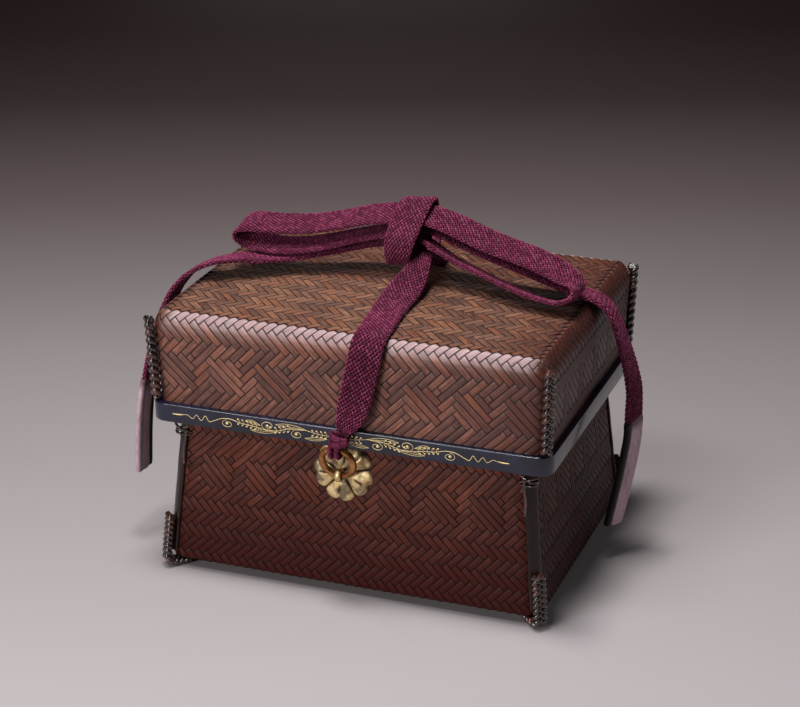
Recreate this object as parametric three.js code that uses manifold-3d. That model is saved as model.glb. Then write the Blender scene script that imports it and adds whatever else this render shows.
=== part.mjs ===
// Tea utensil box: a twill woven bamboo basket with a deep lid, a lacquered rim
// hoop, laced corners, a flower plate and ring on the front and on the back, and a
// flat braided cord tied in a bow on the lid.
// Millimetres, +Z up, front towards -Y. The origin is the middle of the footprint.

import * as THREE from 'three';
import { mergeVertices } from 'three/addons/utils/BufferGeometryUtils.js';
import Module from 'manifold-3d';

const kernel = await Module();
kernel.setup();

// Sizes shared by the whole box
const clearance = 0.3;
const half = 0.5;
const mergeReach = 1e-4;
const quarterTurn = Math.PI / 2;

// Lid
const lidTopZ = 134.6;
const lidRimZ = 79.5;
const lidHalfX = 98.6;
const lidHalfY = 71.8;
const lidTaperShare = 0.038;
const lidWall = 2.3;
const lidCorner = 4;
const lidFold = 6;
const foldSteps = 4;

// Lower basket, which follows the lid: the lid comes down over it
const basketFloorZ = 4.9;
const basketHeadroom = 9.2;
const basketTopZ = lidTopZ - basketHeadroom;
const basketInsetX = 3;
const basketInsetY = 1.4;
const basketHalfX = lidHalfX - basketInsetX;
const basketHalfY = lidHalfY - basketInsetY;
const basketTaperShare = 0.093;
const basketWall = 2.2;
const basketCorner = 5;
const basketFold = 2.5;

// Lacquered hoops round the mouth of the lower basket
const mouthHoopHeight = 6.5;
const mouthHoopThickness = 1.8;
const mouthHoopLip = 0.6;

// Rim hoops of the lid
const bandProud = 1.3;
const bandHalfX = lidHalfX + bandProud;
const bandHalfY = lidHalfY + bandProud;
const bandHeight = 9.5;
const bandTopZ = lidRimZ + bandHeight;
const bandCorner = 8;
const bandEdge = 0.9;
const innerHoopThickness = 2;
const innerHoopDrop = 0.4;
const innerHoopHeight = 8.5;

// Split bamboo strips over the corners of the lower basket
const stripWidth = 7;
const stripThickness = 1.6;
const stripBottomZ = 9;
const stripTopZ = lidRimZ - 2 * clearance;

// Laced corners: beads with one lobe for each turn of the lacing
const lobeShare = 0.84;
const lidLaceBottomZ = bandTopZ + 1.2;
const lidLaceTopZ = lidTopZ - 2.6;
const lidLaceWidth = 6.6;
const lidLaceThickness = 5.4;
const lidLaceLobes = 11;
const bindBottomZ = 68;
const bindTopZ = lidRimZ - 2 * clearance;
const bindWidth = 8.6;
const bindThickness = 3.4;
const bindLobes = 3;
const footTopZ = 28;
const footWidth = 7.6;
const footThickness = 4.6;
const footUnderLength = 13;
const footLobes = 10;
const footBendDepth = 0.4;
const footBendHeight = 4.9;
const footTurnLength = 2.6;

// Flower plate, staple and ring
const fittingX = -3.6;
const fittingZ = 64;
const plateRadius = 15;
const plateThickness = 1.5;
const plateEdgeThickness = 0.7;
const plateHole = 2;
const plateMidShare = 0.6;
const petalCount = 5;
const petalShape = [0.8, 0.93, 1, 0.95, 1, 0.93];
const eyeDepth = 5.5;
const eyeInner = 2.1;
const eyeOuter = 3.3;
const eyeWidth = 2.8;
const shankRadius = 1.3;
const shankHole = 1.7;
const clinchLength = 12;
const clinchThickness = 1.1;
const eyeFacets = 16;
const ringRadius = 7.85;
const ringWire = 1.65;
const ringTilt = 15 * Math.PI / 180;
const ringSteps = 28;
const wireFacets = 8;

// Cord hitch on the ring: two strands round the wire and a small knot above
const strandRadius = 1.3;
const strandSpread = 1.7;
const strandLoop = 3.7;
const strandDrop = 0.45;
const strandStart = -quarterTurn * 0.62;
const strandEnd = quarterTurn * 1.67;
const strandSteps = 10;
const hitchOffset = 2.8;
const hitchDepth = 2.9;
const hitchHeight = 6;
const hitchHalfWidth = 5.2;
const hitchHalfDepth = 3.4;
const hitchHalfHeight = 4.5;
const hitchFacets = 16;

// Flat braided cord
const cordWidth = 16.5;
const cordThickness = 2.4;
const cordSteps = 2;
const tipWidth = 14.5;
const tipThickness = 3.6;
const knotWidth = 18;
const knotTopX = 3;
const knotLeanShare = 0.2;
const knotTopZ = 172.5;

// Routes of the cord: centre point, direction across the cord, share of its width
const frontStrapRoute = [
  [1.2, -77, 89.8, 1, 0, 0, 0.42], [3.2, -76.6, 94.2, 1, 0, 0.1, 0.72],
  [5.2, -75.8, 99.6, 1, 0, 0.16, 0.93], [7, -75.1, 107, 1, 0, 0.19, 0.99], [9.2, -74.6, 117, 1, 0, 0.2, 1],
  [10.7, -74.3, 124, 1, 0, 0.14, 1], [11.8, -73.9, 130, 1, 0, 0.08, 1], [12.5, -72.1, 134.3, 1, 0, 0, 1],
  [12.8, -67.6, 136.5, 1, 0.06, 0, 1], [12.2, -58, 137, 1, 0.18, 0, 1], [10.6, -44, 137.2, 1, 0.25, 0, 1],
  [10.2, -30, 138.2, 1, 0.25, -0.08, 1], [10.4, -18, 139.5, 1, 0.2, -0.15, 1],
  [11.1, -8, 141.3, 1, 0.08, -0.12, 1], [11.5, 0, 142.2, 1, 0, -0.03, 1], [11.6, 6, 142.4, 1, 0, 0, 1],
  [11.6, 12.35, 142.4, 1, 0, 0, 1]];
const backStrapRoute = [
  [-1.2, 77, 89.8, 1, 0, 0, 0.42], [-3, 76.6, 94.2, 1, 0, -0.1, 0.72],
  [-5.2, 75.8, 99.6, 1, 0, -0.16, 0.93], [-6.9, 75.1, 107, 1, 0, -0.18, 0.99],
  [-8.4, 74.6, 117, 1, 0, -0.15, 1], [-9.1, 74.4, 123.3, 1, 0, -0.13, 1],
  [-9.6, 74, 129.6, 1, 0, -0.08, 1], [-9.8, 72.2, 134.3, 1, 0, 0, 1], [-9.4, 67, 136.6, 1, 0.08, 0, 1],
  [-7.6, 58.2, 136.9, 1, 0.18, 0, 1], [-5, 50, 137.1, 1, 0.25, 0, 1], [-1.6, 42.5, 137.9, 1, 0.26, 0, 1],
  [2.6, 35.4, 139.2, 1, 0.25, 0, 1], [7.8, 28, 141.1, 1, 0.2, 0, 1], [10.9, 22.4, 142.2, 1, 0.06, 0, 1],
  [11.6, 18, 142.4, 1, 0, 0, 1], [11.6, 12.65, 142.4, 1, 0, 0, 1]];
const leftLoopRoute = [
  [-7.55, 13.2, 166.3, 0, 1, 0, 1], [-10.5, 13.2, 166.9, 0, 1, 0.05, 1],
  [-19.2, 11.5, 165.2, 0, 1, 0.25, 1], [-30, 9, 161.9, 0, 1, 0.3, 1], [-40.3, 6.9, 159.8, 0, 1, 0.3, 1],
  [-50, 5, 158.5, 0, 1, 0.3, 1], [-64, 2, 158.2, 0, 1, 0.3, 1], [-75, 0, 158.1, 0, 1, 0.3, 1],
  [-82, -2, 156, 0, 1, 0.25, 1], [-83.8, -3, 152, 0, 1, 0.1, 1], [-78, -3, 148.4, 0, 1, 0, 1],
  [-71, -1.9, 147.9, 0, 1, 0, 1], [-62, 0, 148.2, 0, 1, 0, 1], [-51, 2.9, 149, 0, 1, 0, 1],
  [-38, 6.5, 150.9, 0, 1, 0, 1], [-25.2, 9.8, 154.2, 0, 1, 0, 1], [-12.5, 12.4, 156.9, 0, 1, 0, 1],
  [-9.56, 12.4, 156.3, 0, 1, 0, 1]];
const leftTailRoute = [
  [-10.78, 16.4, 150.2, 0, 1, 0, 1], [-13.7, 16.4, 150.8, 0, 1, 0, 1], [-23, 14, 148.3, 0, 1, -0.1, 1],
  [-34.6, 9.2, 145.9, 0.1, 1, -0.1, 1], [-45, 4, 144.4, 0.2, 1, -0.1, 1],
  [-53.8, -0.6, 143.7, 0.21, 1, -0.1, 1], [-62, -5, 143.6, 0.2, 1, -0.1, 1],
  [-69.9, -9.2, 143.8, 0.21, 1, -0.1, 1], [-77, -13, 144, 0.2, 1, -0.1, 1],
  [-88, -19, 142.8, 0.1, 1, -0.1, 1], [-97.5, -23, 138.5, 0, 1, -0.05, 1],
  [-104.2, -25.8, 131.5, 0, 1, -0.05, 1], [-108, -28.5, 124, 0, 1, -0.05, 1],
  [-110.8, -31.4, 115.6, 0, 1, -0.03, 1], [-112.6, -33.8, 108, 0, 1, 0, 1],
  [-114.2, -36.1, 99.6, 0, 1, 0, 1], [-115.35, -37.6, 92.6, 0.03, 1, 0, 0.96],
  [-116.5, -39.1, 85.6, 0.05, 1, 0, 0.9]];
const leftTipRoute = [
  [-116.55, -39.16, 85.3, 0.05, 1, 0, 1], [-117.35, -40.2, 80.4, 0.05, 1, 0, 1],
  [-118.1, -41, 74.6, 0.05, 1, 0, 1], [-118.9, -41.6, 67, 0.05, 1, 0, 1],
  [-119.8, -41.9, 56, 0.05, 1, 0, 1], [-120.4, -42, 46, 0.05, 1, 0, 1], [-120.8, -42.1, 37, 0.05, 1, 0, 1]];
const rightLoopRoute = [
  [11.17, 14.4, 166.8, 0, 1, 0, 1], [14.1, 14.4, 166.2, 0, 1, 0.05, 1], [20.5, 12.8, 165.2, 0, 1, 0.2, 1],
  [28, 10.4, 164, 0, 1, 0.3, 1], [37.6, 7.1, 162, 0, 1, 0.3, 1], [48, 4, 160, 0, 1, 0.3, 1],
  [58.4, 1.9, 158.2, 0, 1, 0.3, 1], [68, 0, 156.5, 0, 1, 0.3, 1], [82, -4, 153, 0, 1, 0.3, 1],
  [91, -8, 148.8, 0, 1, 0.2, 1], [91, -10.4, 144, 0, 1, 0, 1], [81, -10.8, 140.6, 0, 1, -0.1, 1],
  [72.4, -8.6, 140.8, 0, 1, -0.11, 1], [62, -5, 142.2, 0, 1, -0.1, 1], [50.4, -0.1, 145.2, 0, 1, -0.11, 1],
  [38, 5, 148.6, 0, 1, -0.1, 1], [23.7, 10, 151.6, 0, 1, -0.03, 1], [11.5, 12, 153, 0, 1, 0, 1],
  [8.53, 12, 153.6, 0, 1, 0, 1]];
const rightTailRoute = [
  [9.73, 18.4, 159.6, 0, 1, 0, 1], [12.7, 18.4, 159, 0, 1, 0, 1], [20.5, 17, 157.6, 0, 1, 0.1, 1],
  [30, 14.3, 155.8, 0, 1, 0.1, 1], [42.3, 11.5, 152.9, 0, 1, 0.06, 1], [55, 9.5, 149.6, 0, 1, 0, 1],
  [65.7, 8.7, 146.3, 0, 1, -0.06, 1], [75, 8.6, 143.2, 0, 1, -0.1, 1], [89, 9, 138.6, 0, 1, -0.1, 1],
  [97.5, 10, 136.4, -0.1, 1, -0.1, 1], [104, 11.4, 130, -0.1, 1, -0.1, 1],
  [107, 12.4, 122.6, -0.06, 1, -0.1, 1], [109.3, 13.7, 114.4, 0, 1, -0.1, 1],
  [111.4, 15.2, 106, 0.05, 1, -0.1, 1], [113, 16.8, 98, 0.1, 1, -0.08, 1],
  [114.2, 18.2, 90, 0.15, 1, -0.04, 1], [114.5, 18.7, 84, 0.2, 1, 0, 1],
  [114.45, 18.95, 78.3, 0.25, 1, 0, 0.96], [114.4, 19.2, 72.6, 0.3, 1, 0, 0.9]];
const rightTipRoute = [
  [114.4, 19.21, 72.3, 0.3, 1, 0, 1], [114.36, 19.42, 67.5, 0.33, 1, 0, 1],
  [114, 19.4, 61.5, 0.36, 1, 0, 1], [113, 18.7, 53, 0.4, 1, 0, 1], [111.2, 17.4, 41, 0.4, 1, 0, 1],
  [109.2, 15.7, 29, 0.4, 1, 0, 1], [107, 14, 17, 0.4, 1, 0, 1]];
// Outline of the bow knot, seen from the left: depth and height
const knotOutline = [
  [24, 172.5], [14, 172], [3, 165.5], [-4.5, 158.5], [-6, 151], [-2.5, 146], [6, 143.9], [19, 143.9],
  [27.5, 152], [28.6, 165]];

// Looks
const looks = {
  weaveLid: { color: 0x4a2a22, roughness: 0.5, metalness: 0 },
  weaveBase: { color: 0x40241e, roughness: 0.5, metalness: 0 },
  lacquer: { color: 0x0b0d16, roughness: 0.18, metalness: 0 },
  lace: { color: 0x24140f, roughness: 0.35, metalness: 0 },
  strip: { color: 0x3a2018, roughness: 0.4, metalness: 0 },
  brass: { color: 0xa98b52, roughness: 0.4, metalness: 1 },
  ringBrass: { color: 0x7a5a36, roughness: 0.35, metalness: 1 },
  cord: { color: 0x4a1736, roughness: 0.9, metalness: 0 },
  tip: { color: 0x8d7480, roughness: 0.8, metalness: 0 },
};

const group = new THREE.Group();
group.name = 'tea_utensil_box';

// Solids are kept as lists of points and triangles until they are added
function volumeOf(solid) {
  let sum = 0;
  const a = new THREE.Vector3();
  const b = new THREE.Vector3();
  const c = new THREE.Vector3();
  for (const [i, j, k] of solid.tris) {
    a.fromArray(solid.points[i]);
    b.fromArray(solid.points[j]);
    c.fromArray(solid.points[k]);
    sum += a.dot(b.cross(c));
  }
  return sum / 6;
}

function facingOut(solid) {
  if (volumeOf(solid) > 0) return solid;
  return { points: solid.points, tris: solid.tris.map(([i, j, k]) => [i, k, j]) };
}

// Skin over a row of rings with equal counts; a loop joins the last to the first
function loft(rings, loop) {
  const count = rings[0].length;
  const points = rings.flat();
  const tris = [];
  const spans = loop ? rings.length : rings.length - 1;
  for (let r = 0; r < spans; r += 1) {
    const low = r * count;
    const high = ((r + 1) % rings.length) * count;
    for (let i = 0; i < count; i += 1) {
      const j = (i + 1) % count;
      tris.push([low + i, low + j, high + j], [low + i, high + j, high + i]);
    }
  }
  if (!loop) {
    const last = (rings.length - 1) * count;
    for (let i = 1; i + 1 < count; i += 1) {
      tris.push([0, i + 1, i], [last, last + i, last + i + 1]);
    }
  }
  return facingOut({ points, tris });
}

function add(name, solid, look) {
  const geometry = new THREE.BufferGeometry();
  geometry.setAttribute('position', new THREE.Float32BufferAttribute(solid.points.flat(), 3));
  geometry.setIndex(solid.tris.flat());
  geometry.computeVertexNormals();
  const mesh = new THREE.Mesh(geometry, new THREE.MeshStandardMaterial(looks[look]));
  mesh.name = name;
  group.add(mesh);
}

// Half a turn about the upright axis, which carries the front pieces to the back
function halfTurn(solid) {
  return { points: solid.points.map(([x, y, z]) => [-x, -y, z]), tris: solid.tris };
}

// Ring of a box with cut corners, at one height
function cutRing(halfX, halfY, cut, z) {
  return [
    [halfX, halfY - cut, z], [halfX - cut, halfY, z], [cut - halfX, halfY, z], [-halfX, halfY - cut, z],
    [-halfX, cut - halfY, z], [cut - halfX, -halfY, z], [halfX - cut, -halfY, z], [halfX, cut - halfY, z]];
}

// Ring of a box with rounded corners, at one height
function roundRing(halfX, halfY, radius, z, steps) {
  const ring = [];
  const corners = [[1, 1], [-1, 1], [-1, -1], [1, -1]];
  corners.forEach(([sx, sy], turn) => {
    for (let s = 0; s <= steps; s += 1) {
      const angle = (turn + s / steps) * quarterTurn;
      ring.push([sx * (halfX - radius) + radius * Math.cos(angle),
        sy * (halfY - radius) + radius * Math.sin(angle), z]);
    }
  });
  return ring;
}

const basketX = (z) => basketHalfX - basketTaperShare * (z - basketFloorZ);
const basketY = (z) => basketHalfY - basketTaperShare * (z - basketFloorZ);
const lidX = (z) => lidHalfX - lidTaperShare * (lidTopZ - z);
const lidY = (z) => lidHalfY - lidTaperShare * (lidTopZ - z);
// A wall moved in or out keeps its cut corners at an even distance
const cutMove = 2 - Math.SQRT2;
const basketRing = (z, out) => cutRing(basketX(z) + out, basketY(z) + out, basketCorner + out * cutMove, z);
const lidRing = (z, out) => cutRing(lidX(z) + out, lidY(z) + out, lidCorner + out * cutMove, z);

// A three.js geometry as a list of points and triangles, with its seams closed
function fromGeometry(geometry) {
  const bare = new THREE.BufferGeometry();
  bare.setAttribute('position', geometry.getAttribute('position'));
  bare.setIndex(geometry.getIndex());
  const merged = mergeVertices(bare, mergeReach);
  const place = merged.getAttribute('position');
  const index = merged.getIndex();
  const points = [];
  const tris = [];
  for (let i = 0; i < place.count; i += 1) {
    points.push([place.getX(i), place.getY(i), place.getZ(i)]);
  }
  for (let i = 0; i < index.count; i += 3) {
    const tri = [index.getX(i), index.getX(i + 1), index.getX(i + 2)];
    if (new Set(tri).size === tri.length) tris.push(tri);
  }
  return facingOut({ points, tris });
}

function toKernel(solid) {
  return new kernel.Manifold(new kernel.Mesh({
    numProp: 3,
    vertProperties: new Float32Array(solid.points.flat()),
    triVerts: new Uint32Array(solid.tris.flat()),
  }));
}

function fromKernel(body) {
  const mesh = body.getMesh();
  const points = [];
  const tris = [];
  for (let i = 0; i < mesh.vertProperties.length; i += mesh.numProp) {
    points.push(Array.from(mesh.vertProperties.slice(i, i + 3)));
  }
  for (let i = 0; i < mesh.triVerts.length; i += 3) tris.push(Array.from(mesh.triVerts.slice(i, i + 3)));
  return { points, tris };
}

// Lower basket: folded floor edge, flared walls, open mouth, two holes for the staples
const basketInnerFloorZ = basketFloorZ + basketWall;
const basket = loft([
  basketRing(basketFloorZ, -basketFold), basketRing(basketFloorZ + basketFold, 0), basketRing(basketTopZ, 0),
  basketRing(basketTopZ, -basketWall), basketRing(basketInnerFloorZ + basketFold, -basketWall),
  basketRing(basketInnerFloorZ, -basketWall - basketFold)], false);
const fittingWallY = basketY(fittingZ);

function rodY(radius, x, z, fromY, toY, facets) {
  const rod = new THREE.CylinderGeometry(radius, radius, toY - fromY, facets);
  return fromGeometry(rod.translate(x, (fromY + toY) * half, z));
}

const holeReach = 2 * basketWall;
const frontHole = rodY(shankHole, fittingX, fittingZ,
  -fittingWallY - holeReach, -fittingWallY + holeReach, eyeFacets);
const pierced = kernel.Manifold.difference([
  toKernel(basket), toKernel(frontHole), toKernel(halfTurn(frontHole))]);
add('base_basket', fromKernel(pierced), 'weaveBase');

// Hoops round the mouth of the lower basket
const mouthBottomZ = basketTopZ - mouthHoopHeight;
const mouthLipZ = basketTopZ + mouthHoopLip;
const outsideHoop = clearance + mouthHoopThickness;
const insideHoop = -basketWall - clearance;
add('mouth_hoop_outer', loft([
  basketRing(mouthBottomZ, clearance), basketRing(mouthBottomZ, outsideHoop),
  basketRing(mouthLipZ, outsideHoop), basketRing(mouthLipZ, clearance)], true), 'lacquer');
add('mouth_hoop_inner', loft([
  basketRing(mouthBottomZ, insideHoop - mouthHoopThickness), basketRing(mouthBottomZ, insideHoop),
  basketRing(mouthLipZ, insideHoop),
  basketRing(mouthLipZ, insideHoop - mouthHoopThickness)], true), 'lacquer');

// Lid: flat top, soft fold, nearly upright walls, open below
const lidRings = [];
for (let s = 0; s <= foldSteps; s += 1) {
  const angle = quarterTurn * s / foldSteps;
  lidRings.push(lidRing(lidTopZ - lidFold * (1 - Math.cos(angle)), -lidFold * (1 - Math.sin(angle))));
}
const ceilingZ = lidTopZ - lidWall;
const innerFold = lidFold - lidWall;
lidRings.push(lidRing(lidRimZ, 0), lidRing(lidRimZ, -lidWall), lidRing(ceilingZ - innerFold, -lidWall),
  lidRing(ceilingZ, -lidWall - innerFold));
add('lid_shell', loft(lidRings, false), 'weaveLid');

// Lacquered band outside the lid's rim and a plain hoop inside it
const bandSteps = 3;
const bandInner = (z) => roundRing(lidX(z) + clearance, lidY(z) + clearance, clearance, z, bandSteps);
const bandOuter = (z, inset) => roundRing(
  bandHalfX - inset, bandHalfY - inset, bandCorner - inset, z, bandSteps);
add('lid_band', loft([
  bandInner(lidRimZ), bandOuter(lidRimZ, bandEdge), bandOuter(lidRimZ + bandEdge, 0),
  bandOuter(bandTopZ - bandEdge, 0), bandOuter(bandTopZ, bandEdge), bandInner(bandTopZ)], true), 'lacquer');
const innerHoopZ = lidRimZ + innerHoopDrop;
const innerHoopTopZ = innerHoopZ + innerHoopHeight;
const hoopOut = -lidWall - clearance;
add('lid_inner_hoop', loft([
  lidRing(innerHoopZ, hoopOut - innerHoopThickness), lidRing(innerHoopZ, hoopOut),
  lidRing(innerHoopTopZ, hoopOut), lidRing(innerHoopTopZ, hoopOut - innerHoopThickness)], true), 'lacquer');

// Sections: shares of half the width and half the thickness
const flatSection = [[-1, -1], [1, -1], [1, 1], [-1, 1]];
const cordFlank = 0.93;
const cordSection = [
  [-cordFlank, -1], [cordFlank, -1], [1, -half], [1, half],
  [cordFlank, 1], [-cordFlank, 1], [-1, half], [-1, -half]];
const beadFlank = 0.62;
const beadSection = [
  [-beadFlank, -1], [beadFlank, -1], [1, -half], [1, half],
  [beadFlank, 1], [-beadFlank, 1], [-1, half], [-1, -half]];

function sectionRing(section, centre, across, outward, wide, thick) {
  return section.map(([s, t]) => [0, 1, 2].map(
    (k) => centre[k] + s * wide * half * across[k] + t * thick * half * outward[k]));
}

const cornerNames = { fl: [-1, -1], fr: [1, -1], bl: [-1, 1], br: [1, 1] };
const diagonal = Math.SQRT1_2;

// Point on a corner at a height, moved out square to the face of the cut corner
function cornerPoint([sx, sy], wallX, wallY, cut, out, z) {
  const inset = cut * half - out * diagonal;
  return [sx * (wallX(z) - inset), sy * (wallY(z) - inset), z];
}

// Bead of lacing up a corner
function laceBead(corner, wallX, wallY, cut, out, bottomZ, topZ, wide, thick, lobes) {
  const [sx, sy] = corner;
  const across = [-sy * diagonal, sx * diagonal, 0];
  const outward = [sx * diagonal, sy * diagonal, 0];
  const rings = [];
  for (let i = 0; i <= 2 * lobes; i += 1) {
    const z = bottomZ + (topZ - bottomZ) * i / (2 * lobes);
    const share = i % 2 ? 1 : lobeShare;
    rings.push(sectionRing(beadSection, cornerPoint(corner, wallX, wallY, cut, out + thick * half, z),
      across, outward, wide * share, thick));
  }
  return loft(rings, false);
}

for (const [tag, corner] of Object.entries(cornerNames)) {
  const [sx, sy] = corner;
  const across = [-sy * diagonal, sx * diagonal, 0];
  const outward = [sx * diagonal, sy * diagonal, 0];
  add(`lid_lace_${tag}`, laceBead(corner, lidX, lidY, lidCorner, clearance, lidLaceBottomZ, lidLaceTopZ,
    lidLaceWidth, lidLaceThickness, lidLaceLobes), 'lace');
  // Strip over the corner, then the binding near the rim, which lies over the strip
  const stripOut = clearance + stripThickness * half;
  add(`corner_strip_${tag}`, loft([stripBottomZ, stripTopZ].map((z) => sectionRing(flatSection,
    cornerPoint(corner, basketX, basketY, basketCorner, stripOut, z), across, outward,
    stripWidth, stripThickness)),
  false), 'strip');
  const overStrip = stripThickness + 2 * clearance;
  add(`corner_bind_${tag}`, laceBead(corner, basketX, basketY, basketCorner, overStrip, bindBottomZ, bindTopZ,
    bindWidth, bindThickness, bindLobes), 'lace');
  // Laced foot: down the corner, round the floor's edge and in under the floor
  const footOut = overStrip + footThickness * half;
  const sideRings = 2 * footLobes * half + 4;
  const rings = [];
  for (let i = 0; i < sideRings; i += 1) {
    const z = footTopZ - (footTopZ - stripBottomZ) * i / (sideRings - 1);
    rings.push(sectionRing(beadSection, cornerPoint(corner, basketX, basketY, basketCorner, footOut, z),
      across, outward, footWidth * (i % 2 ? 1 : lobeShare), footThickness));
  }
  const soleZ = footThickness * half;
  const bend = cornerPoint(corner, basketX, basketY, basketCorner, footOut + footBendDepth, footBendHeight);
  rings.push(sectionRing(beadSection, bend, across,
    [outward[0] * diagonal, outward[1] * diagonal, -diagonal], footWidth, footThickness));
  const underRings = sideRings - footLobes;
  for (let i = 0; i <= underRings; i += 1) {
    const inward = footTurnLength + (footUnderLength - footTurnLength) * i / underRings;
    const centre = [bend[0] - sx * inward * diagonal, bend[1] - sy * inward * diagonal, soleZ];
    rings.push(sectionRing(beadSection, centre, across, [0, 0, -1],
      footWidth * (i % 2 ? 1 : lobeShare), footThickness));
  }
  add(`foot_lace_${tag}`, loft(rings, false), 'lace');
}

// Flower plate on the sloping wall, with a hole for the staple
const slope = Math.hypot(1, basketTaperShare);
const wallUp = [0, basketTaperShare / slope, 1 / slope];
const wallOut = [0, -1 / slope, basketTaperShare / slope];
const plateOrigin = [fittingX, -fittingWallY, fittingZ];
function onWall(x, up, out) {
  return [0, 1, 2].map((k) => plateOrigin[k] + (k ? 0 : x) + up * wallUp[k] + out * wallOut[k]);
}
function plateRing(shareOf, out) {
  const ring = [];
  const count = petalCount * petalShape.length;
  for (let i = 0; i < count; i += 1) {
    const angle = 4 * quarterTurn * i / count - quarterTurn;
    const reach = shareOf(petalShape[i % petalShape.length]);
    ring.push(onWall(reach * Math.cos(angle), reach * Math.sin(angle), out));
  }
  return ring;
}
const plateBack = clearance;
const plate = loft([
  plateRing(() => plateHole, plateBack), plateRing((s) => plateRadius * s, plateBack),
  plateRing((s) => plateRadius * s, plateBack + plateEdgeThickness),
  plateRing((s) => plateRadius * plateMidShare * s, plateBack + plateThickness),
  plateRing(() => plateHole, plateBack + plateThickness)], true);
add('flower_plate_front', plate, 'brass');
add('flower_plate_back', halfTurn(plate), 'brass');

// Staple: an eye in front of the plate, a shank through the wall, a clinched bar inside
const eyeY = -fittingWallY - eyeDepth;
const eyeProfile = [[eyeInner, -1], [eyeOuter, -1], [eyeOuter, 1], [eyeInner, 1], [eyeInner, -1]];
const eye = fromGeometry(new THREE.LatheGeometry(
  eyeProfile.map(([radius, side]) => new THREE.Vector2(radius, side * eyeWidth * half)), eyeFacets)
  .rotateZ(quarterTurn).translate(fittingX, eyeY, fittingZ));
const clinchFromY = -fittingWallY + basketWall + 3 * clearance;
const shank = rodY(shankRadius, fittingX, fittingZ, eyeY + (eyeInner + eyeOuter) * half,
  clinchFromY + clinchThickness * half, eyeFacets);
const clinch = fromGeometry(new THREE.BoxGeometry(2 * shankRadius, clinchThickness, clinchLength)
  .translate(fittingX, clinchFromY + clinchThickness * half, fittingZ));
const staple = fromKernel(kernel.Manifold.union([toKernel(eye), toKernel(shank), toKernel(clinch)]));
add('staple_front', staple, 'brass');
add('staple_back', halfTurn(staple), 'brass');

// Ring: hangs in the eye and stands up, leaning out a little
const ringUp = [0, -Math.sin(ringTilt), Math.cos(ringTilt)];
const ringFace = [0, -Math.cos(ringTilt), -Math.sin(ringTilt)];
const ringPoint = (across, up) => [
  fittingX + across, eyeY + up * ringUp[1], fittingZ + up * ringUp[2]];
const ringPlace = new THREE.Matrix4().makeBasis(
  new THREE.Vector3(1, 0, 0), new THREE.Vector3(...ringUp), new THREE.Vector3(...ringFace));
ringPlace.setPosition(...ringPoint(0, ringRadius));
const ring = fromGeometry(new THREE.TorusGeometry(ringRadius, ringWire, wireFacets, ringSteps)
  .applyMatrix4(ringPlace));
add('ring_front', ring, 'ringBrass');
add('ring_back', halfTurn(ring), 'ringBrass');

// Hitch: two strands from a small knot, down in front of the wire and up behind it
const wireTop = ringPoint(0, 2 * ringRadius - strandDrop);
const knotCentre = [fittingX + hitchOffset, wireTop[1] - hitchDepth, wireTop[2] + hitchHeight + strandDrop];
function strand(offset) {
  const rings = [];
  const centres = [[knotCentre[0] + offset * half, knotCentre[1], knotCentre[2]]];
  for (let i = 0; i <= strandSteps; i += 1) {
    const angle = strandStart + (strandEnd - strandStart) * i / strandSteps;
    centres.push([fittingX + offset, wireTop[1] - strandLoop * Math.cos(angle),
      wireTop[2] - strandLoop * Math.sin(angle)]);
  }
  centres.forEach((centre, i) => {
    const before = new THREE.Vector3(...centres[Math.max(i - 1, 0)]);
    const after = new THREE.Vector3(...centres[Math.min(i + 1, centres.length - 1)]);
    const along = after.sub(before).normalize();
    const across = new THREE.Vector3(1, 0, 0).addScaledVector(along, -along.x).normalize();
    const outward = new THREE.Vector3().crossVectors(along, across);
    const ringOfStrand = [];
    for (let j = 0; j < wireFacets; j += 1) {
      const turn = 4 * quarterTurn * j / wireFacets;
      ringOfStrand.push(centre.map((v, k) => v + strandRadius * (Math.cos(turn) * across.getComponent(k)
        + Math.sin(turn) * outward.getComponent(k))));
    }
    rings.push(ringOfStrand);
  });
  return loft(rings, false);
}
const lump = fromGeometry(new THREE.SphereGeometry(1, hitchFacets, hitchFacets * half)
  .scale(hitchHalfWidth, hitchHalfDepth, hitchHalfHeight).translate(...knotCentre));
const hitch = fromKernel(kernel.Manifold.union([
  toKernel(lump), toKernel(strand(-strandSpread)), toKernel(strand(strandSpread))]));
add('cord_hitch_front', hitch, 'cord');
add('cord_hitch_back', halfTurn(hitch), 'cord');

// Flat cord: a smooth path through the route's points, with a flat section
function smoothRoute(route, steps) {
  const rows = [];
  const at = (i) => route[Math.min(Math.max(i, 0), route.length - 1)];
  for (let i = 0; i + 1 < route.length; i += 1) {
    for (let s = 0; s < steps; s += 1) {
      const t = s / steps;
      rows.push(at(i).map((v, k) => {
        const p0 = at(i - 1)[k];
        const p2 = at(i + 1)[k];
        const p3 = at(i + 2)[k];
        return half * (2 * v + (p2 - p0) * t + (2 * p0 - 5 * v + 4 * p2 - p3) * t * t
          + (3 * v - p0 - 3 * p2 + p3) * t * t * t);
      }));
    }
  }
  rows.push(route[route.length - 1]);
  return rows;
}

function ribbon(route, steps, wide, thick) {
  const rows = smoothRoute(route, steps);
  const last = rows.length - 1;
  return loft(rows.map((row, i) => {
    // The end faces lie square to the route's first and last stretch
    const from = i === last ? route[route.length - 2] : rows[Math.max(i - 1, 0)];
    const to = i === 0 ? route[1] : rows[Math.min(i + 1, last)];
    const before = new THREE.Vector3(...from.slice(0, 3));
    const along = new THREE.Vector3(...to.slice(0, 3)).sub(before).normalize();
    const across = new THREE.Vector3(...row.slice(3, 6));
    across.addScaledVector(along, -across.dot(along)).normalize();
    const outward = new THREE.Vector3().crossVectors(along, across);
    return sectionRing(cordSection, row.slice(0, 3), across.toArray(), outward.toArray(),
      wide * row[6], thick);
  }), false);
}

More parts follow.
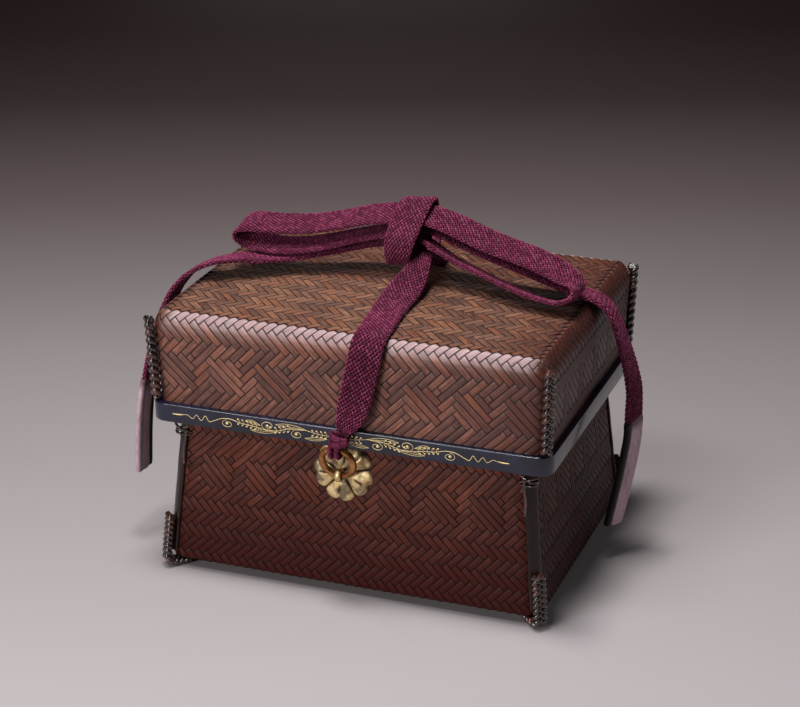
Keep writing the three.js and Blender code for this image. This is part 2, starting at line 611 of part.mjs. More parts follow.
add('cord_strap_front', ribbon(frontStrapRoute, cordSteps, cordWidth, cordThickness), 'cord');
add('cord_strap_back', ribbon(backStrapRoute, cordSteps, cordWidth, cordThickness), 'cord');
add('cord_loop_left', ribbon(leftLoopRoute, cordSteps, cordWidth, cordThickness), 'cord');
add('cord_loop_right', ribbon(rightLoopRoute, cordSteps, cordWidth, cordThickness), 'cord');
add('cord_tail_left', ribbon(leftTailRoute, cordSteps, cordWidth, cordThickness), 'cord');
add('cord_tail_right', ribbon(rightTailRoute, cordSteps, cordWidth, cordThickness), 'cord');
add('cord_tip_left', ribbon(leftTipRoute, cordSteps, tipWidth, tipThickness), 'tip');
add('cord_tip_right', ribbon(rightTipRoute, cordSteps, tipWidth, tipThickness), 'tip');

// Bow knot: the turn of cord that holds the loops, as one upright lump
const knotSide = (side) => knotOutline.map(([y, z]) => [
  knotTopX - knotLeanShare * (knotTopZ - z) + side * knotWidth * half, y, z]);
add('cord_knot', loft([knotSide(-1), knotSide(1)], false), 'cord');

export default group;
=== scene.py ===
import math
import random

import bmesh
import bpy
import numpy as np
from mathutils import Matrix, Vector


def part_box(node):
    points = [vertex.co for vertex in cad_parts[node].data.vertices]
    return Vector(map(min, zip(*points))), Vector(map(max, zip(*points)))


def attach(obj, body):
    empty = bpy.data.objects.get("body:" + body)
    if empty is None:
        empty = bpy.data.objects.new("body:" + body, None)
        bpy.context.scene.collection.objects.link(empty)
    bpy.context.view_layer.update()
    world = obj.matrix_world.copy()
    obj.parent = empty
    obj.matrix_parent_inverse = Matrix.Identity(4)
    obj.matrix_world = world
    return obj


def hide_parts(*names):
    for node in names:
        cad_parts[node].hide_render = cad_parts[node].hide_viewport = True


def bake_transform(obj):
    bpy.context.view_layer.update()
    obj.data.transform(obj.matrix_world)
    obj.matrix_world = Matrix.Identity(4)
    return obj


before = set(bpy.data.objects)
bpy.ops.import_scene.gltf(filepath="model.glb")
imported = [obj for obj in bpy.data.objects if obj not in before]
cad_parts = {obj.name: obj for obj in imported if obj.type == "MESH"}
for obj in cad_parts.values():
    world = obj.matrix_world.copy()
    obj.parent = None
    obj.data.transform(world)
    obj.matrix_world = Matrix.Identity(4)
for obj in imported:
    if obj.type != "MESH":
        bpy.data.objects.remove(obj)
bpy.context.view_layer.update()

bl_info = {
    "name": "Tea Utensil Box",
    "version": (1, 0, 0),
    "blender": (4, 5, 0),
    "location": "View3D > Sidebar > Tea Box",
    "description": "Woven bamboo box for tea utensils, with a lacquered rim, brass fittings and a tied cord",
    "category": "Object",
}

# Places and forms, in metres, as in the solids
lid_top_z, lid_rim_z, lid_half_x, lid_half_y = 0.1346, 0.0795, 0.0986, 0.0718
lid_taper, lid_corner, lid_fold, lid_wall = 0.038, 0.007, 0.006, 0.0023
basket_floor_z, basket_top_z, basket_half_x, basket_half_y = 0.0049, 0.1254, 0.0956, 0.0704
basket_taper, basket_corner, basket_fold, basket_wall = -0.093, 0.0085, 0.0025, 0.0022
band_half_x, band_half_y, band_corner, band_top_z = 0.0999, 0.0731, 0.008, 0.089
fitting_x, fitting_z, eye_y = -0.0036, 0.064, -0.070404
corners = {"fl": (-1, -1), "fr": (1, -1), "bl": (-1, 1), "br": (1, 1)}
wall_columns = 270
wall_forms = {
    "lid": (lid_half_x, lid_half_y, lid_taper, lid_corner, lid_top_z),
    "basket": (basket_half_x, basket_half_y, basket_taper, basket_corner, basket_floor_z)}

# Routes of the cord, in millimetres: centre point, direction across the cord, and the share of its
# width where it isn't the whole
front_strap_route = [
    (1.2, -77, 89.8, 1, 0, 0, 0.42), (3.2, -76.6, 94.2, 1, 0, 0.1, 0.72), (5.2, -75.8, 99.6, 1, 0, 0.16, 0.93),
    (7, -75.1, 107, 1, 0, 0.19, 0.99), (9.2, -74.6, 117, 1, 0, 0.2), (10.7, -74.3, 124, 1, 0, 0.14),
    (11.8, -73.9, 130, 1, 0, 0.08), (12.5, -72.1, 134.3, 1, 0, 0), (12.8, -67.6, 136.5, 1, 0.06, 0),
    (12.2, -58, 137, 1, 0.18, 0), (10.4, -44, 137.2, 1, 0.25, 0), (9.8, -30, 138.2, 1, 0.25, -0.12),
    (10.2, -19.5, 139.8, 1, 0.2, -0.2), (11.2, -10.5, 142.5, 1, 0.12, -0.26, 0.88),
    (12, -3.5, 146.2, 1, 0.1, -0.32, 0.68), (12, 3, 149.2, 1, 0.1, -0.36, 0.55),
    (11.5, 9, 150.5, 1, 0, -0.36, 0.5),
]
back_strap_route = [
    (-1.2, 77, 89.8, 1, 0, 0, 0.42), (-3, 76.6, 94.2, 1, 0, -0.1, 0.72), (-5.2, 75.8, 99.6, 1, 0, -0.16, 0.93),
    (-6.9, 75.1, 107, 1, 0, -0.18, 0.99), (-8.4, 74.6, 117, 1, 0, -0.15), (-9.1, 74.4, 123.3, 1, 0, -0.13),
    (-9.6, 74, 129.6, 1, 0, -0.08), (-9.8, 72.2, 134.3, 1, 0, 0), (-9.4, 67, 136.6, 1, 0.08, 0),
    (-7.6, 58.2, 136.9, 1, 0.18, 0), (-5, 50, 137.1, 1, 0.25, 0), (-1.6, 42.5, 137.9, 1, 0.26, 0),
    (2.6, 35.4, 139.2, 1, 0.25, 0), (7.8, 28, 141.1, 1, 0.2, 0), (10.9, 22.4, 142.2, 1, 0.06, 0),
    (11.6, 18, 142.4, 1, 0, 0), (11.6, 12.65, 142.4, 1, 0, 0),
]
left_loop_route = [
    (-1, 12.5, 166.8, 0, 1, 0.34), (-9.5, 12.2, 166.2, 0, 1, 0.34), (-19.2, 11, 164.6, 0, 1, 0.34),
    (-30, 9, 161.9, 0, 1, 0.32), (-40.3, 6.9, 159.8, 0, 1, 0.3), (-50, 5, 158.5, 0, 1, 0.3),
    (-64, 2, 158.2, 0, 1, 0.3), (-74.5, 0.8, 158.4, 0.06, 1, 0.3), (-80.8, 0.8, 156.6, 0.12, 1, 0.3),
    (-82.4, 1.2, 153, 0.12, 1, 0.3), (-78.4, 2, 149.4, 0.1, 1, 0.27), (-71, 1.2, 148.1, 0.04, 1, 0.22),
    (-62, 1, 147.6, 0.02, 1, 0.18), (-51, 3, 148.1, 0, 1, 0.16), (-38, 7.6, 150, 0, 1, 0.16),
    (-25.2, 11.4, 153.2, 0, 1, 0.14), (-12.5, 12.8, 156.2, 0, 1, 0.1), (-2, 13, 157.4, 0, 1, 0.1),
]
left_tail_route = [
    (-3, 17, 150.8, 0, 1, 0), (-13.7, 17, 150.2, 0, 1, 0), (-23, 15.5, 147.8, 0, 1, -0.05),
    (-34.6, 11.5, 145.2, 0.1, 1, -0.05), (-45, 6.8, 143.6, 0.2, 1, -0.05), (-53.8, 2.4, 142.8, 0.21, 1, -0.05),
    (-62, -2.2, 142.7, 0.2, 1, -0.05), (-69.9, -7.6, 143.2, 0.21, 1, -0.1), (-77, -13, 144, 0.2, 1, -0.1),
    (-88, -19, 142.8, 0.1, 1, -0.1), (-97.5, -23, 138.5, 0, 1, -0.05), (-104.2, -25.8, 131.5, 0, 1, -0.05),
    (-108, -28.5, 124, 0, 1, -0.05), (-110.8, -31.4, 115.6, 0, 1, -0.03), (-112.6, -33.8, 108, 0, 1, 0),
    (-114.2, -36.1, 99.6, 0, 1, 0), (-115.35, -37.6, 92.6, 0.03, 1, 0, 0.96),
    (-116.5, -39.1, 85.6, 0.05, 1, 0, 0.9),
]
left_tip_route = [
    (-116.55, -39.16, 85.3, 0.05, 1, 0), (-117.35, -40.2, 80.4, 0.05, 1, 0), (-118.1, -41, 74.6, 0.05, 1, 0),
    (-118.9, -41.6, 67, 0.05, 1, 0), (-119.8, -41.9, 56, 0.05, 1, 0), (-120.4, -42, 46, 0.05, 1, 0),
    (-120.8, -42.1, 37, 0.05, 1, 0),
]
right_loop_route = [
    (6, 13.8, 167.2, 0, 1, 0.3), (13, 13.6, 166.6, 0, 1, 0.3), (20.5, 12.4, 165.4, 0, 1, 0.3),
    (28, 10.4, 164, 0, 1, 0.3), (37.6, 7.1, 162, 0, 1, 0.3), (48, 4, 160, 0, 1, 0.3),
    (58.4, 1.9, 158.2, 0, 1, 0.3), (68, 0, 156.5, 0, 1, 0.3), (82, -4, 153, 0, 1, 0.26),
    (91.2, -8.2, 148.8, 0, 1, 0.05), (91.5, -10.4, 143.8, 0, 1, -0.2), (85, -10.6, 140, 0, 1, -0.34),
    (76, -8.6, 139.4, 0, 1, -0.38), (65, -5, 140.2, 0, 1, -0.38), (50, 0, 142.8, 0, 1, -0.38),
    (38.5, 4, 145.2, 0, 1, -0.38), (27, 7.6, 147.8, 0, 1, -0.36), (16.5, 10.5, 151.8, 0, 1, -0.32),
    (6, 12.5, 156.6, 0, 1, -0.25),
]
right_tail_route = [
    (6, 18.8, 160.2, 0, 1, 0), (12.7, 18.4, 159.2, 0, 1, 0), (20.5, 17, 157.6, 0, 1, 0.05),
    (30, 14.3, 155.6, 0, 1, 0.05), (42.3, 11.5, 152.9, 0, 1, 0.06), (55, 9.5, 149.6, 0, 1, 0),
    (65.7, 8.7, 146.3, 0, 1, -0.06), (75, 8.6, 143.2, 0, 1, -0.1), (89, 9, 138.6, 0, 1, -0.1),
    (97.5, 10, 136.4, -0.1, 1, -0.1), (104, 11.4, 130, -0.1, 1, -0.1), (107, 12.4, 122.6, -0.06, 1, -0.1),
    (109.3, 13.7, 114.4, 0, 1, -0.1), (111.4, 15.2, 106, 0.05, 1, -0.1), (113, 16.8, 98, 0.1, 1, -0.08),
    (114.2, 18.2, 90, 0.15, 1, -0.04), (114.5, 18.7, 84, 0.2, 1, 0), (114.45, 18.95, 78.3, 0.25, 1, 0, 0.96),
    (114.4, 19.2, 72.6, 0.3, 1, 0, 0.9),
]
right_tip_route = [
    (114.4, 19.21, 72.3, 0.3, 1, 0), (114.36, 19.42, 67.5, 0.33, 1, 0), (114, 19.4, 61.5, 0.36, 1, 0),
    (113, 18.7, 53, 0.4, 1, 0), (111.2, 17.4, 41, 0.4, 1, 0), (109.2, 15.7, 29, 0.4, 1, 0),
    (107, 14, 17, 0.4, 1, 0),
]
knot_outline = [
    (0.024, 0.1725), (0.014, 0.172), (0.003, 0.1655), (-0.0045, 0.1585), (-0.006, 0.151), (-0.0025, 0.146),
    (0.006, 0.1439), (0.019, 0.1439), (0.0275, 0.152), (0.0286, 0.165),
]


def tint(red, green, blue):
    """A display colour of 0 to 255 as the linear colour that a material takes."""
    shares = (red / 255, green / 255, blue / 255)
    return tuple(c / 12.92 if c <= 0.04045 else ((c + 0.055) / 1.055) ** 2.4 for c in shares)


def colour_property(name, description, default):
    return bpy.props.FloatVectorProperty(
        name=name, description=description, default=default, size=3, min=0, max=1, subtype="COLOR")


def length_property(name, description, default):
    return bpy.props.FloatProperty(
        name=name, description=description, default=default, min=0, unit="LENGTH", precision=5)


class TeaBoxSizes(bpy.types.PropertyGroup):
    slat_fill: bpy.props.FloatProperty(
        name="Strip Fill", description="Width of a bamboo strip as a share of its place in the weave",
        default=0.96, min=0.5, max=1, subtype="FACTOR")
    slat_lift: length_property("Strip Lift", "Height of a strip above the middle of the weave", 0.0002)
    slat_thickness: length_property("Strip Thickness", "Thickness of a bamboo strip", 0.00036)
    cord_width: length_property("Cord Width", "Width of the flat cord", 0.0165)
    cord_thickness: length_property("Cord Thickness", "Thickness of the flat cord", 0.0024)
    stitch_pitch: length_property("Stitch Pitch", "Length of cord between two rows of the braid", 0.0026)
    tip_width: length_property("Tip Width", "Width of the bound ends of the cord", 0.0145)
    tip_thickness: length_property("Tip Thickness", "Thickness of the bound ends of the cord", 0.0036)
    lace_period: length_property("Lace Period", "Length of one full turn of the corner lacing", 0.0114)
    lace_strand: length_property("Lace Strand", "Radius of a strand of the corner lacing", 0.00135)
    ring_radius: length_property("Ring Radius", "Radius of the ring to the middle of its wire", 0.00785)
    ring_wire: length_property("Ring Wire", "Radius of the ring's wire", 0.00165)
    plate_radius: length_property("Plate Radius", "Radius of the flower plate", 0.015)


class TeaBoxColours(bpy.types.PropertyGroup):
    weave_lid: colour_property("Lid Weave", "Bamboo strips of the lid's walls", tint(112, 70, 58))
    # Partly painted light: the top's weave colour is a lighter, more ochre copy of the lid's, for the top that
    # faces the lamps.
    weave_top: colour_property("Lid Top Weave", "Bamboo strips of the lid's top", tint(115, 79, 62))
    weave_base: colour_property("Basket Weave", "Bamboo strips of the lower basket", tint(92, 50, 40))
    lacquer: colour_property("Lacquer", "Lacquer of the band and the hoops", tint(10, 14, 32))
    gold: colour_property("Gold", "Gold of the scroll on the band", tint(246, 216, 150))
    lace: colour_property("Lacing", "Rattan of the laced corners and bindings", tint(40, 20, 14))
    strip: colour_property("Corner Strip", "Split bamboo over the basket's corners", tint(30, 16, 11))
    plate_brass: colour_property("Plate Brass", "Gilt brass of the plates and staples", tint(226, 200, 148))
    ring_brass: colour_property("Ring Brass", "Dark brass of the rings", tint(186, 132, 82))
    cord: colour_property("Cord", "Braided silk cord", tint(108, 30, 62))
    cord_tip: colour_property("Cord Tip", "Bound ends of the cord", tint(186, 158, 168))
    floor: colour_property("Floor", "Paper floor of the studio", tint(166, 158, 160))


def sizes():
    return bpy.context.scene.tea_box_sizes


def colour(name):
    return (*getattr(bpy.context.scene.tea_box_colours, name), 1)


# Nodes


class Wire:
    """The output of a node; plain arithmetic on it makes further nodes."""

    def __init__(self, tree, socket):
        self.tree, self.socket = tree, socket

    def __add__(self, other):
        return calc("ADD", self, other)

    def __sub__(self, other):
        return calc("SUBTRACT", self, other)

    def __mul__(self, other):
        return calc("MULTIPLY", self, other)

    def __truediv__(self, other):
        return calc("DIVIDE", self, other)


def plug(socket, value):
    if isinstance(value, Wire):
        value.tree.links.new(value.socket, socket)
    else:
        socket.default_value = value


def node(tree, kind, inputs=None, **settings):
    made = tree.nodes.new(kind)
    for key, value in settings.items():
        setattr(made, key, value)
    for key, value in (inputs or {}).items():
        plug(made.inputs[key], value)
    return made


def out(tree, kind, inputs=None, pick=0, **settings):
    """A new node's output, by its number or name."""
    return Wire(tree, node(tree, kind, inputs, **settings).outputs[pick])


def tree_of(values):
    return next(value.tree for value in values if isinstance(value, Wire))


def calc(operation, *values):
    return out(tree_of(values), "ShaderNodeMath", dict(enumerate(values)), operation=operation)


def aim(operation, *values):
    """Vector arithmetic; a scale takes its number as the second value."""
    places = (0, 3) if operation == "SCALE" else (0, 1, 2)
    pick = "Value" if operation in ("DOT_PRODUCT", "LENGTH") else "Vector"
    return out(tree_of(values), "ShaderNodeVectorMath", dict(zip(places, values)), pick, operation=operation)


def vector(x, y, z):
    return out(tree_of((x, y, z)), "ShaderNodeCombineXYZ", {0: x, 1: y, 2: z})


def parts(value):
    return [Wire(value.tree, part) for part in node(value.tree, "ShaderNodeSeparateXYZ", {0: value}).outputs]


# Materials: each maker returns what goes into the sockets of the shader


def object_place(tree, scale=1):
    return aim("SCALE", out(tree, "ShaderNodeTexCoord", pick="Object"), scale)


def wall_map(tree):
    return out(tree, "ShaderNodeUVMap", uv_map="wall")


def attribute(tree, name, kind="Fac"):
    return out(tree, "ShaderNodeAttribute", pick=kind, attribute_name=name)


def noise(place, detail=3.0, rough=0.55):
    return out(place.tree, "ShaderNodeTexNoise", {
        "Vector": place, "Scale": 1.0, "Detail": detail, "Roughness": rough})


def stretched(place, scales, detail=3.0, rough=0.55):
    """Noise that is drawn out along the axes with the small scales."""
    return noise(aim("MULTIPLY", place, scales), detail, rough)


def grade(factor, low, high, to_low=0.0, to_high=1.0):
    return out(factor.tree, "ShaderNodeMapRange", {0: factor, 1: low, 2: high, 3: to_low, 4: to_high})


def shade_of(base, level, shift=(1, 1, 1)):
    return (*(min(1, base[i] * level * shift[i]) for i in range(3)), 1)


def ramp(factor, base, *stops):
    """Shades of one colour; each stop has its place, its level and a shift of its hue."""
    made = node(factor.tree, "ShaderNodeValToRGB", {0: factor})
    band = made.color_ramp
    while len(band.elements) < len(stops):
        band.elements.new(1)
    for element, (place, *shade) in zip(band.elements, stops):
        element.position = place
        element.color = shade_of(base, *shade)
    return Wire(factor.tree, made.outputs[0])


def blend_colours(factor, first, second):
    made = node(factor.tree, "ShaderNodeMix", {0: factor}, data_type="RGBA")
    plug(made.inputs[6], first)
    plug(made.inputs[7], second)
    return Wire(factor.tree, made.outputs[2])


def stain(shades, factor, base, level, shift=(1, 1, 1)):
    return blend_colours(factor, shades, shade_of(base, level, shift))


def bump(height, distance, strength):
    return out(height.tree, "ShaderNodeBump", {"Height": height, "Distance": distance, "Strength": strength})


def bamboo(tree, base, red_and_shade_low=None, gloss=0.34, coat=0.02, shine=0.42, top_border_and_shade=False, painted_highlight_from=None):
    """Smoked bamboo strips: each has its own tone, fibres along it, dark lacquer in its seams and painted shade at
    its ends; the box's end walls get painted shade, and the options add more painted shade and a painted
    highlight.
    """
    grain, tone = attribute(tree, "grain", "Vector"), attribute(tree, "tone")
    fibres = stretched(grain, (90, 1500, 40), 4, 0.7)
    broad, mottle = noise(object_place(tree, 30), 2), noise(object_place(tree, 420))
    streaks = grade(fibres, 0.34, 0.68)
    level = tone * 0.22 + streaks * 0.56 + grade(broad, 0.35, 0.65) * 0.14 + grade(mottle, 0.35, 0.65) * 0.12
    shades = ramp(level, base, (0.12, 0.2, (1, 0.8, 0.85)), (0.4, 0.7, (1, 0.94, 1)),
        (0.62, 1.15, (1, 1, 0.95)), (0.92, 2.3, (1, 1, 0.86)))
    kind = calc("FRACT", tone * 7.31)
    shades = stain(shades, streaks * grade(kind, 0.78, 0.84, 0, 0.7), base, 1.1, (1.2, 0.78, 0.45))
    shades = stain(shades, grade(kind, 0.26, 0.2, 0, 0.35), base, 0.4, (0.85, 0.95, 1.3))
    x, y, z = parts(object_place(tree))
    # Darker and redder towards the bottom of the basket: the bamboo is redder there, and the darkening is painted
    # shade.
    if red_and_shade_low is not None:
        shades = stain(shades, grade(z, red_and_shade_low, 0.016, 0, 0.95), base, 0.26, (1.3, 0.36, 0.28))
    from_middle = calc("ABSOLUTE", x)
    # Painted shade: both end walls of the box are darkened.
    shades = stain(shades, grade(from_middle, 0.088, 0.094, 0, 0.5), base, 0.25, (1, 0.85, 0.8))
    # Painted shade: darker and redder towards the right end, where less light falls.
    shades = stain(shades, grade(x + broad * 0.03, 0.075, 0.112, 0, 0.8), base, 0.26, (1.3, 0.6, 0.55))
    if top_border_and_shade:
        # An orange-brown line along the front and back edges of the top.
        border = calc("ABSOLUTE", y) + mottle * 0.002
        shades = stain(shades, grade(border, 0.0635, 0.0665, 0, 0.85), base, 0.85, (1.2, 0.72, 0.36))
        # Painted shade: the back half of the top is darker and redder, behind and under the bow.
        far = grade(y + broad * 0.05, 0.01, 0.05, 0, 0.8) * grade(fibres, 0.62, 0.42)
        shades = stain(shades, far, base, 0.3, (1.4, 0.5, 0.4))
    # Painted highlight: a pale lilac band just below the top edge of the lid's front and back walls, standing in
    # for the lamps' reflection there.
    if painted_highlight_from is not None:
        painted_fold_highlight = grade(z, painted_highlight_from, painted_highlight_from + 0.0035) * grade(fibres, 0.3, 0.6, 0.3, 0.8)
        shades = stain(shades, painted_fold_highlight * grade(from_middle, 0.087, 0.092, 1, 0), base, 2.6, (1, 1.85, 2.8))
    # Dark lacquer in the seams along the strips, and painted shade at the strip ends where each dips under the
    # next.
    seam = calc("MAXIMUM", grade(calc("ABSOLUTE", parts(grain)[1]), 0.0014, 0.00158, 0, 0.95),
        grade(attribute(tree, "tip"), 0.2, 0.02, 0, 0.95))
    return {
        "Base Color": stain(shades, seam, base, 0.05, (1, 0.6, 0.6)),
        "Roughness": calc("MAXIMUM", grade(fibres, 0.2, 0.8, gloss - 0.08, gloss + 0.14), seam * 0.8),
        "Specular IOR Level": shine, "Coat Weight": coat, "Coat Roughness": 0.32,
        "Normal": bump(fibres, 0.00025, 0.9)}


def lining(tree, base):
    """The plain inner face of a woven wall, drawn from the wall's own map in metres."""
    along, up, _ = parts(wall_map(tree))
    per_metre = 205
    rising, falling = (along + up) * per_metre, (along - up) * per_metre
    cells = calc("FLOOR", rising) + calc("FLOOR", falling)
    over = calc("GREATER_THAN", calc("FRACT", cells * (1 / 6)), 0.49)
    under = calc("SUBTRACT", 1, over)
    crown = calc("SINE", (calc("FRACT", rising) * over + calc("FRACT", falling) * under) * math.pi)
    fibres = stretched(vector(rising, falling, over), (3, 3, 1), 4)
    level = calc("POWER", crown, 0.35) * 0.7 + fibres * 0.4
    return {"Base Color": ramp(level, base, (0.15, 0.12), (0.6, 0.7), (1, 1.3)), "Roughness": 0.55,
        "Normal": bump(level, 0.0005, 0.8)}


def lacquer(tree, base):
    """Nearly black lacquer with a faint haze."""
    haze = noise(object_place(tree, 90), 4)
    dust = stretched(object_place(tree), (700, 700, 4200), 2)
    return {
        "Base Color": blend_colours(grade(haze, 0.35, 0.7), shade_of(base, 0.6),
            shade_of(base, 1.7, (1, 1.05, 1.15))),
        "Roughness": grade(haze + dust * 0.4, 0.4, 1.1, 0.12, 0.34), "Coat Weight": 0.3,
        "Coat Roughness": 0.09, "Normal": bump(dust, 0.00003, 0.4)}


def gold_powder(tree, base):
    """Gold strewn on the lacquer, worn in places."""
    powder, wear = noise(object_place(tree, 5200), 2), noise(object_place(tree, 260))
    return {
        "Base Color": ramp(powder * 0.6 + wear * 0.5, base, (0.25, 0.45, (1, 0.8, 0.6)), (0.55, 1),
            (0.85, 1.35, (1, 1.05, 1.2))),
        "Metallic": 0.2, "Roughness": grade(powder, 0.3, 0.7, 0.34, 0.6),
        "Normal": bump(powder, 0.00005, 0.6)}


def rattan(tree, base):
    """Glossy lacing, nearly black, with brown patches and streaks along its strands."""
    lines = stretched(attribute(tree, "grain", "Vector"), (120, 2600, 2600), 3, 0.6)
    patches = noise(object_place(tree, 170))
    return {
        "Base Color": ramp(lines * 0.45 + patches * 0.7, base, (0.36, 0.12), (0.54, 0.5),
            (0.64, 2.2, (1, 0.85, 0.7)), (0.8, 7, (1, 0.75, 0.5))),
        "Roughness": grade(patches, 0.3, 0.7, 0.2, 0.36), "Coat Weight": 1, "Coat Roughness": 0.06,
        "Normal": bump(lines, 0.0002, 0.7)}


def split_bamboo(tree, base):
    """Dark split bamboo with fibres along its height."""
    fibres = stretched(object_place(tree), (1500, 1500, 34), 4, 0.6)
    cloud = stretched(object_place(tree), (60, 60, 30), 2)
    return {
        "Base Color": ramp(fibres * 0.6 + cloud * 0.5, base, (0.3, 0.3), (0.55, 0.9),
            (0.8, 1.8, (1, 0.9, 0.75))),
        "Roughness": grade(fibres, 0.3, 0.7, 0.22, 0.4), "Specular IOR Level": 0.3,
        "Coat Weight": 0.12, "Coat Roughness": 0.15, "Normal": bump(fibres, 0.00015, 0.7)}


def aged_brass(tree, base, tarnish, engraved=False, rough=0.3):
    """Brass with a brown skin in its hollows; engraved lines come from the piece's own attribute."""
    level = noise(object_place(tree, 190), 4, 0.6) * 0.8 + noise(object_place(tree, 1500)) * 0.25
    shades = ramp(level, base, (0.32, 0.2 + 0.3 * (1 - tarnish), (1, 0.88, 0.8)),
        (0.46, 0.62, (1, 0.9, 0.72)), (0.58, 1), (0.8, 1.2, (1, 1.02, 1.1)))
    height = level
    if engraved:
        cut = attribute(tree, "cut")
        stained = grade(noise(object_place(tree, 150)), 0.46, 0.57, 0, 0.88)
        shades = stain(shades, stained, base, 0.24, (0.92, 0.88, 1.25))
        shades = stain(shades, cut, base, 0.03, (1, 0.9, 0.7))
        height = level - cut * 2
    return {"Base Color": shades, "Metallic": 0.85,
        "Roughness": grade(level, 0.3, 0.8, rough + 0.2, rough), "Normal": bump(height, 0.00012, 0.5)}


def silk(tree, base):
    """Braided silk: threads run along each stitch, and the stitches differ a little in tone."""
    threads = stretched(attribute(tree, "grain", "Vector"), (500, 7000, 7000), 2)
    level = attribute(tree, "tone") * 0.6 + threads * 0.3 + noise(object_place(tree, 60), 2) * 0.2
    return {
        "Base Color": ramp(level, base, (0.1, 0.1, (1, 0.2, 0.6)), (0.36, 0.5, (1, 0.9, 1)),
            (0.6, 1.05, (1, 1.7, 1.2)), (0.95, 2.2, (1, 2.3, 1.4))),
        "Roughness": 0.75, "Specular IOR Level": 0.12, "Sheen Weight": 0.05, "Sheen Roughness": 0.4,
        "Sheen Tint": (0.9, 0.6, 0.8, 1), "Normal": bump(threads, 0.00012, 0.8)}


def bound_cloth(tree, base):
    """The bound cord ends: fine cloth with lengthwise folds, darker and stitched at the top, with painted shade on
    the side that faces the box.
    """
    place = wall_map(tree)
    cloth = stretched(place, (1400, 260, 1), 4)
    shades = ramp(cloth * 0.5 + noise(object_place(tree, 80)) * 0.5, base, (0.3, 0.5, (1, 0.86, 0.9)),
        (0.5, 0.95), (0.75, 1.3, (1, 1.02, 1.04)))
    shades = stain(shades, grade(parts(place)[1], 0.002, 0.006, 0.8, 0), base, 0.16, (1, 0.6, 0.8))
    # Painted shade: near black on the side of the end that faces the box.
    shades = stain(shades, attribute(tree, "painted_shade_side"), base, 0.012, (1, 0.7, 0.7))
    return {"Base Color": shades, "Roughness": 0.5, "Specular IOR Level": 0.12, "Sheen Weight": 0.04,
        "Normal": bump(cloth, 0.0002, 0.6)}


def paper(tree, base):
    """Pale studio paper that falls off into shade behind the box."""
    x, y, _ = parts(object_place(tree))
    shades = ramp(grade(y * 0.94 + x * -0.34, -0.3, 1.1), base, (0.107, 1), (0.24, 0.84, (1, 0.99, 0.98)),
        (0.39, 0.66, (1, 0.97, 0.95)), (0.47, 0.52, (1, 0.95, 0.93)), (0.593, 0.34, (1, 0.86, 0.84)),
        (0.78, 0.13, (1, 0.74, 0.68)), (0.95, 0.075, (1, 0.62, 0.54)))
    fleck = grade(noise(object_place(tree, 900), 2), 0.3, 0.7, 0, 0.05)
    return {"Base Color": stain(shades, fleck, base, 0.5), "Roughness": 0.95, "Specular IOR Level": 0.1}


finishes = {
    "weave_lid": (bamboo, "weave_lid", {"painted_highlight_from": lid_top_z - 0.0062}),
    "weave_top": (bamboo, "weave_top", {"gloss": 0.42, "coat": 0.05, "top_border_and_shade": True}),
    "weave_base": (bamboo, "weave_base", {"red_and_shade_low": 0.066, "gloss": 0.4, "coat": 0, "shine": 0.14}),
    "lining": (lining, "weave_base", {}),
    "lacquer": (lacquer, "lacquer", {}),
    "gold": (gold_powder, "gold", {}),
    "lace": (rattan, "lace", {}),
    "strip": (split_bamboo, "strip", {}),
    "plate_brass": (aged_brass, "plate_brass", {"tarnish": 0.7, "engraved": True}),
    "ring_brass": (aged_brass, "ring_brass", {"tarnish": 0.9, "rough": 0.08}),
    "cord": (silk, "cord", {}),
    "cord_tip": (bound_cloth, "cord_tip", {}),
    "floor": (paper, "floor", {}),
}


def finish_material(kind):
    """Each finish is made once, from the colours in the panel."""
    made = bpy.data.materials.get("finish_" + kind)
    if not made:
        made = bpy.data.materials.new("finish_" + kind)
        made.use_nodes = True
        tree = made.node_tree
        tree.nodes.clear()
        maker, shade, options = finishes[kind]
        shader = out(tree, "ShaderNodeBsdfPrincipled", maker(tree, colour(shade), **options))
        node(tree, "ShaderNodeOutputMaterial", {"Surface": shader})
    return made


# Meshes


def new_object(name, mesh):
    made = bpy.data.objects.new(name, mesh)
    bpy.context.scene.collection.objects.link(made)
    return made


def new_mesh(name, points, edges=(), faces=(), numbers=None):
    """A mesh whose points carry numbers or vectors by name."""
    mesh = bpy.data.meshes.new(name)
    mesh.from_pydata([tuple(p) for p in points], list(edges), list(faces))
    mesh.update()
    for key, values in (numbers or {}).items():
        kind, field = ("FLOAT_VECTOR", "vector") if np.ndim(values) == 2 else ("FLOAT", "value")
        mesh.attributes.new(key, kind, "POINT").data.foreach_set(field, np.asarray(values, np.float32).ravel())
    return mesh


def outward(mesh):
    """Closed pieces with their faces the wrong way round are turned."""
    mesh.calc_loop_triangles()
    index = np.empty(len(mesh.loop_triangles) * 3, np.int32)
    mesh.loop_triangles.foreach_get("vertices", index)
    spots = np.empty(len(mesh.vertices) * 3, np.float32)
    mesh.vertices.foreach_get("co", spots)
    a, b, c = np.swapaxes(spots.reshape(-1, 3).astype(float)[index.reshape(-1, 3)], 0, 1)
    if np.einsum("ij,ij->i", a, np.cross(b, c)).sum() < 0:
        mesh.flip_normals()


def round_off(mesh, angle):
    """Shades a mesh smooth up to an angle in degrees."""
    mesh.shade_smooth()
    mesh.set_sharp_from_angle(angle=math.radians(angle))


def solid(name, points, faces, finish, smooth=35, maps=None, numbers=None):
    """An object from points and faces; smooth is the largest angle that is shaded round, in degrees."""
    mesh = new_mesh(name, points, (), faces, numbers)
    if maps is not None:
        layer = mesh.uv_layers.new(name="wall")
        spots = [spot for face_map in maps for spot in face_map]
        layer.data.foreach_set("uv", np.asarray(spots, np.float32).ravel())
    outward(mesh)
    round_off(mesh, smooth)
    mesh.materials.append(finish_material(finish))
    return new_object(name, mesh)


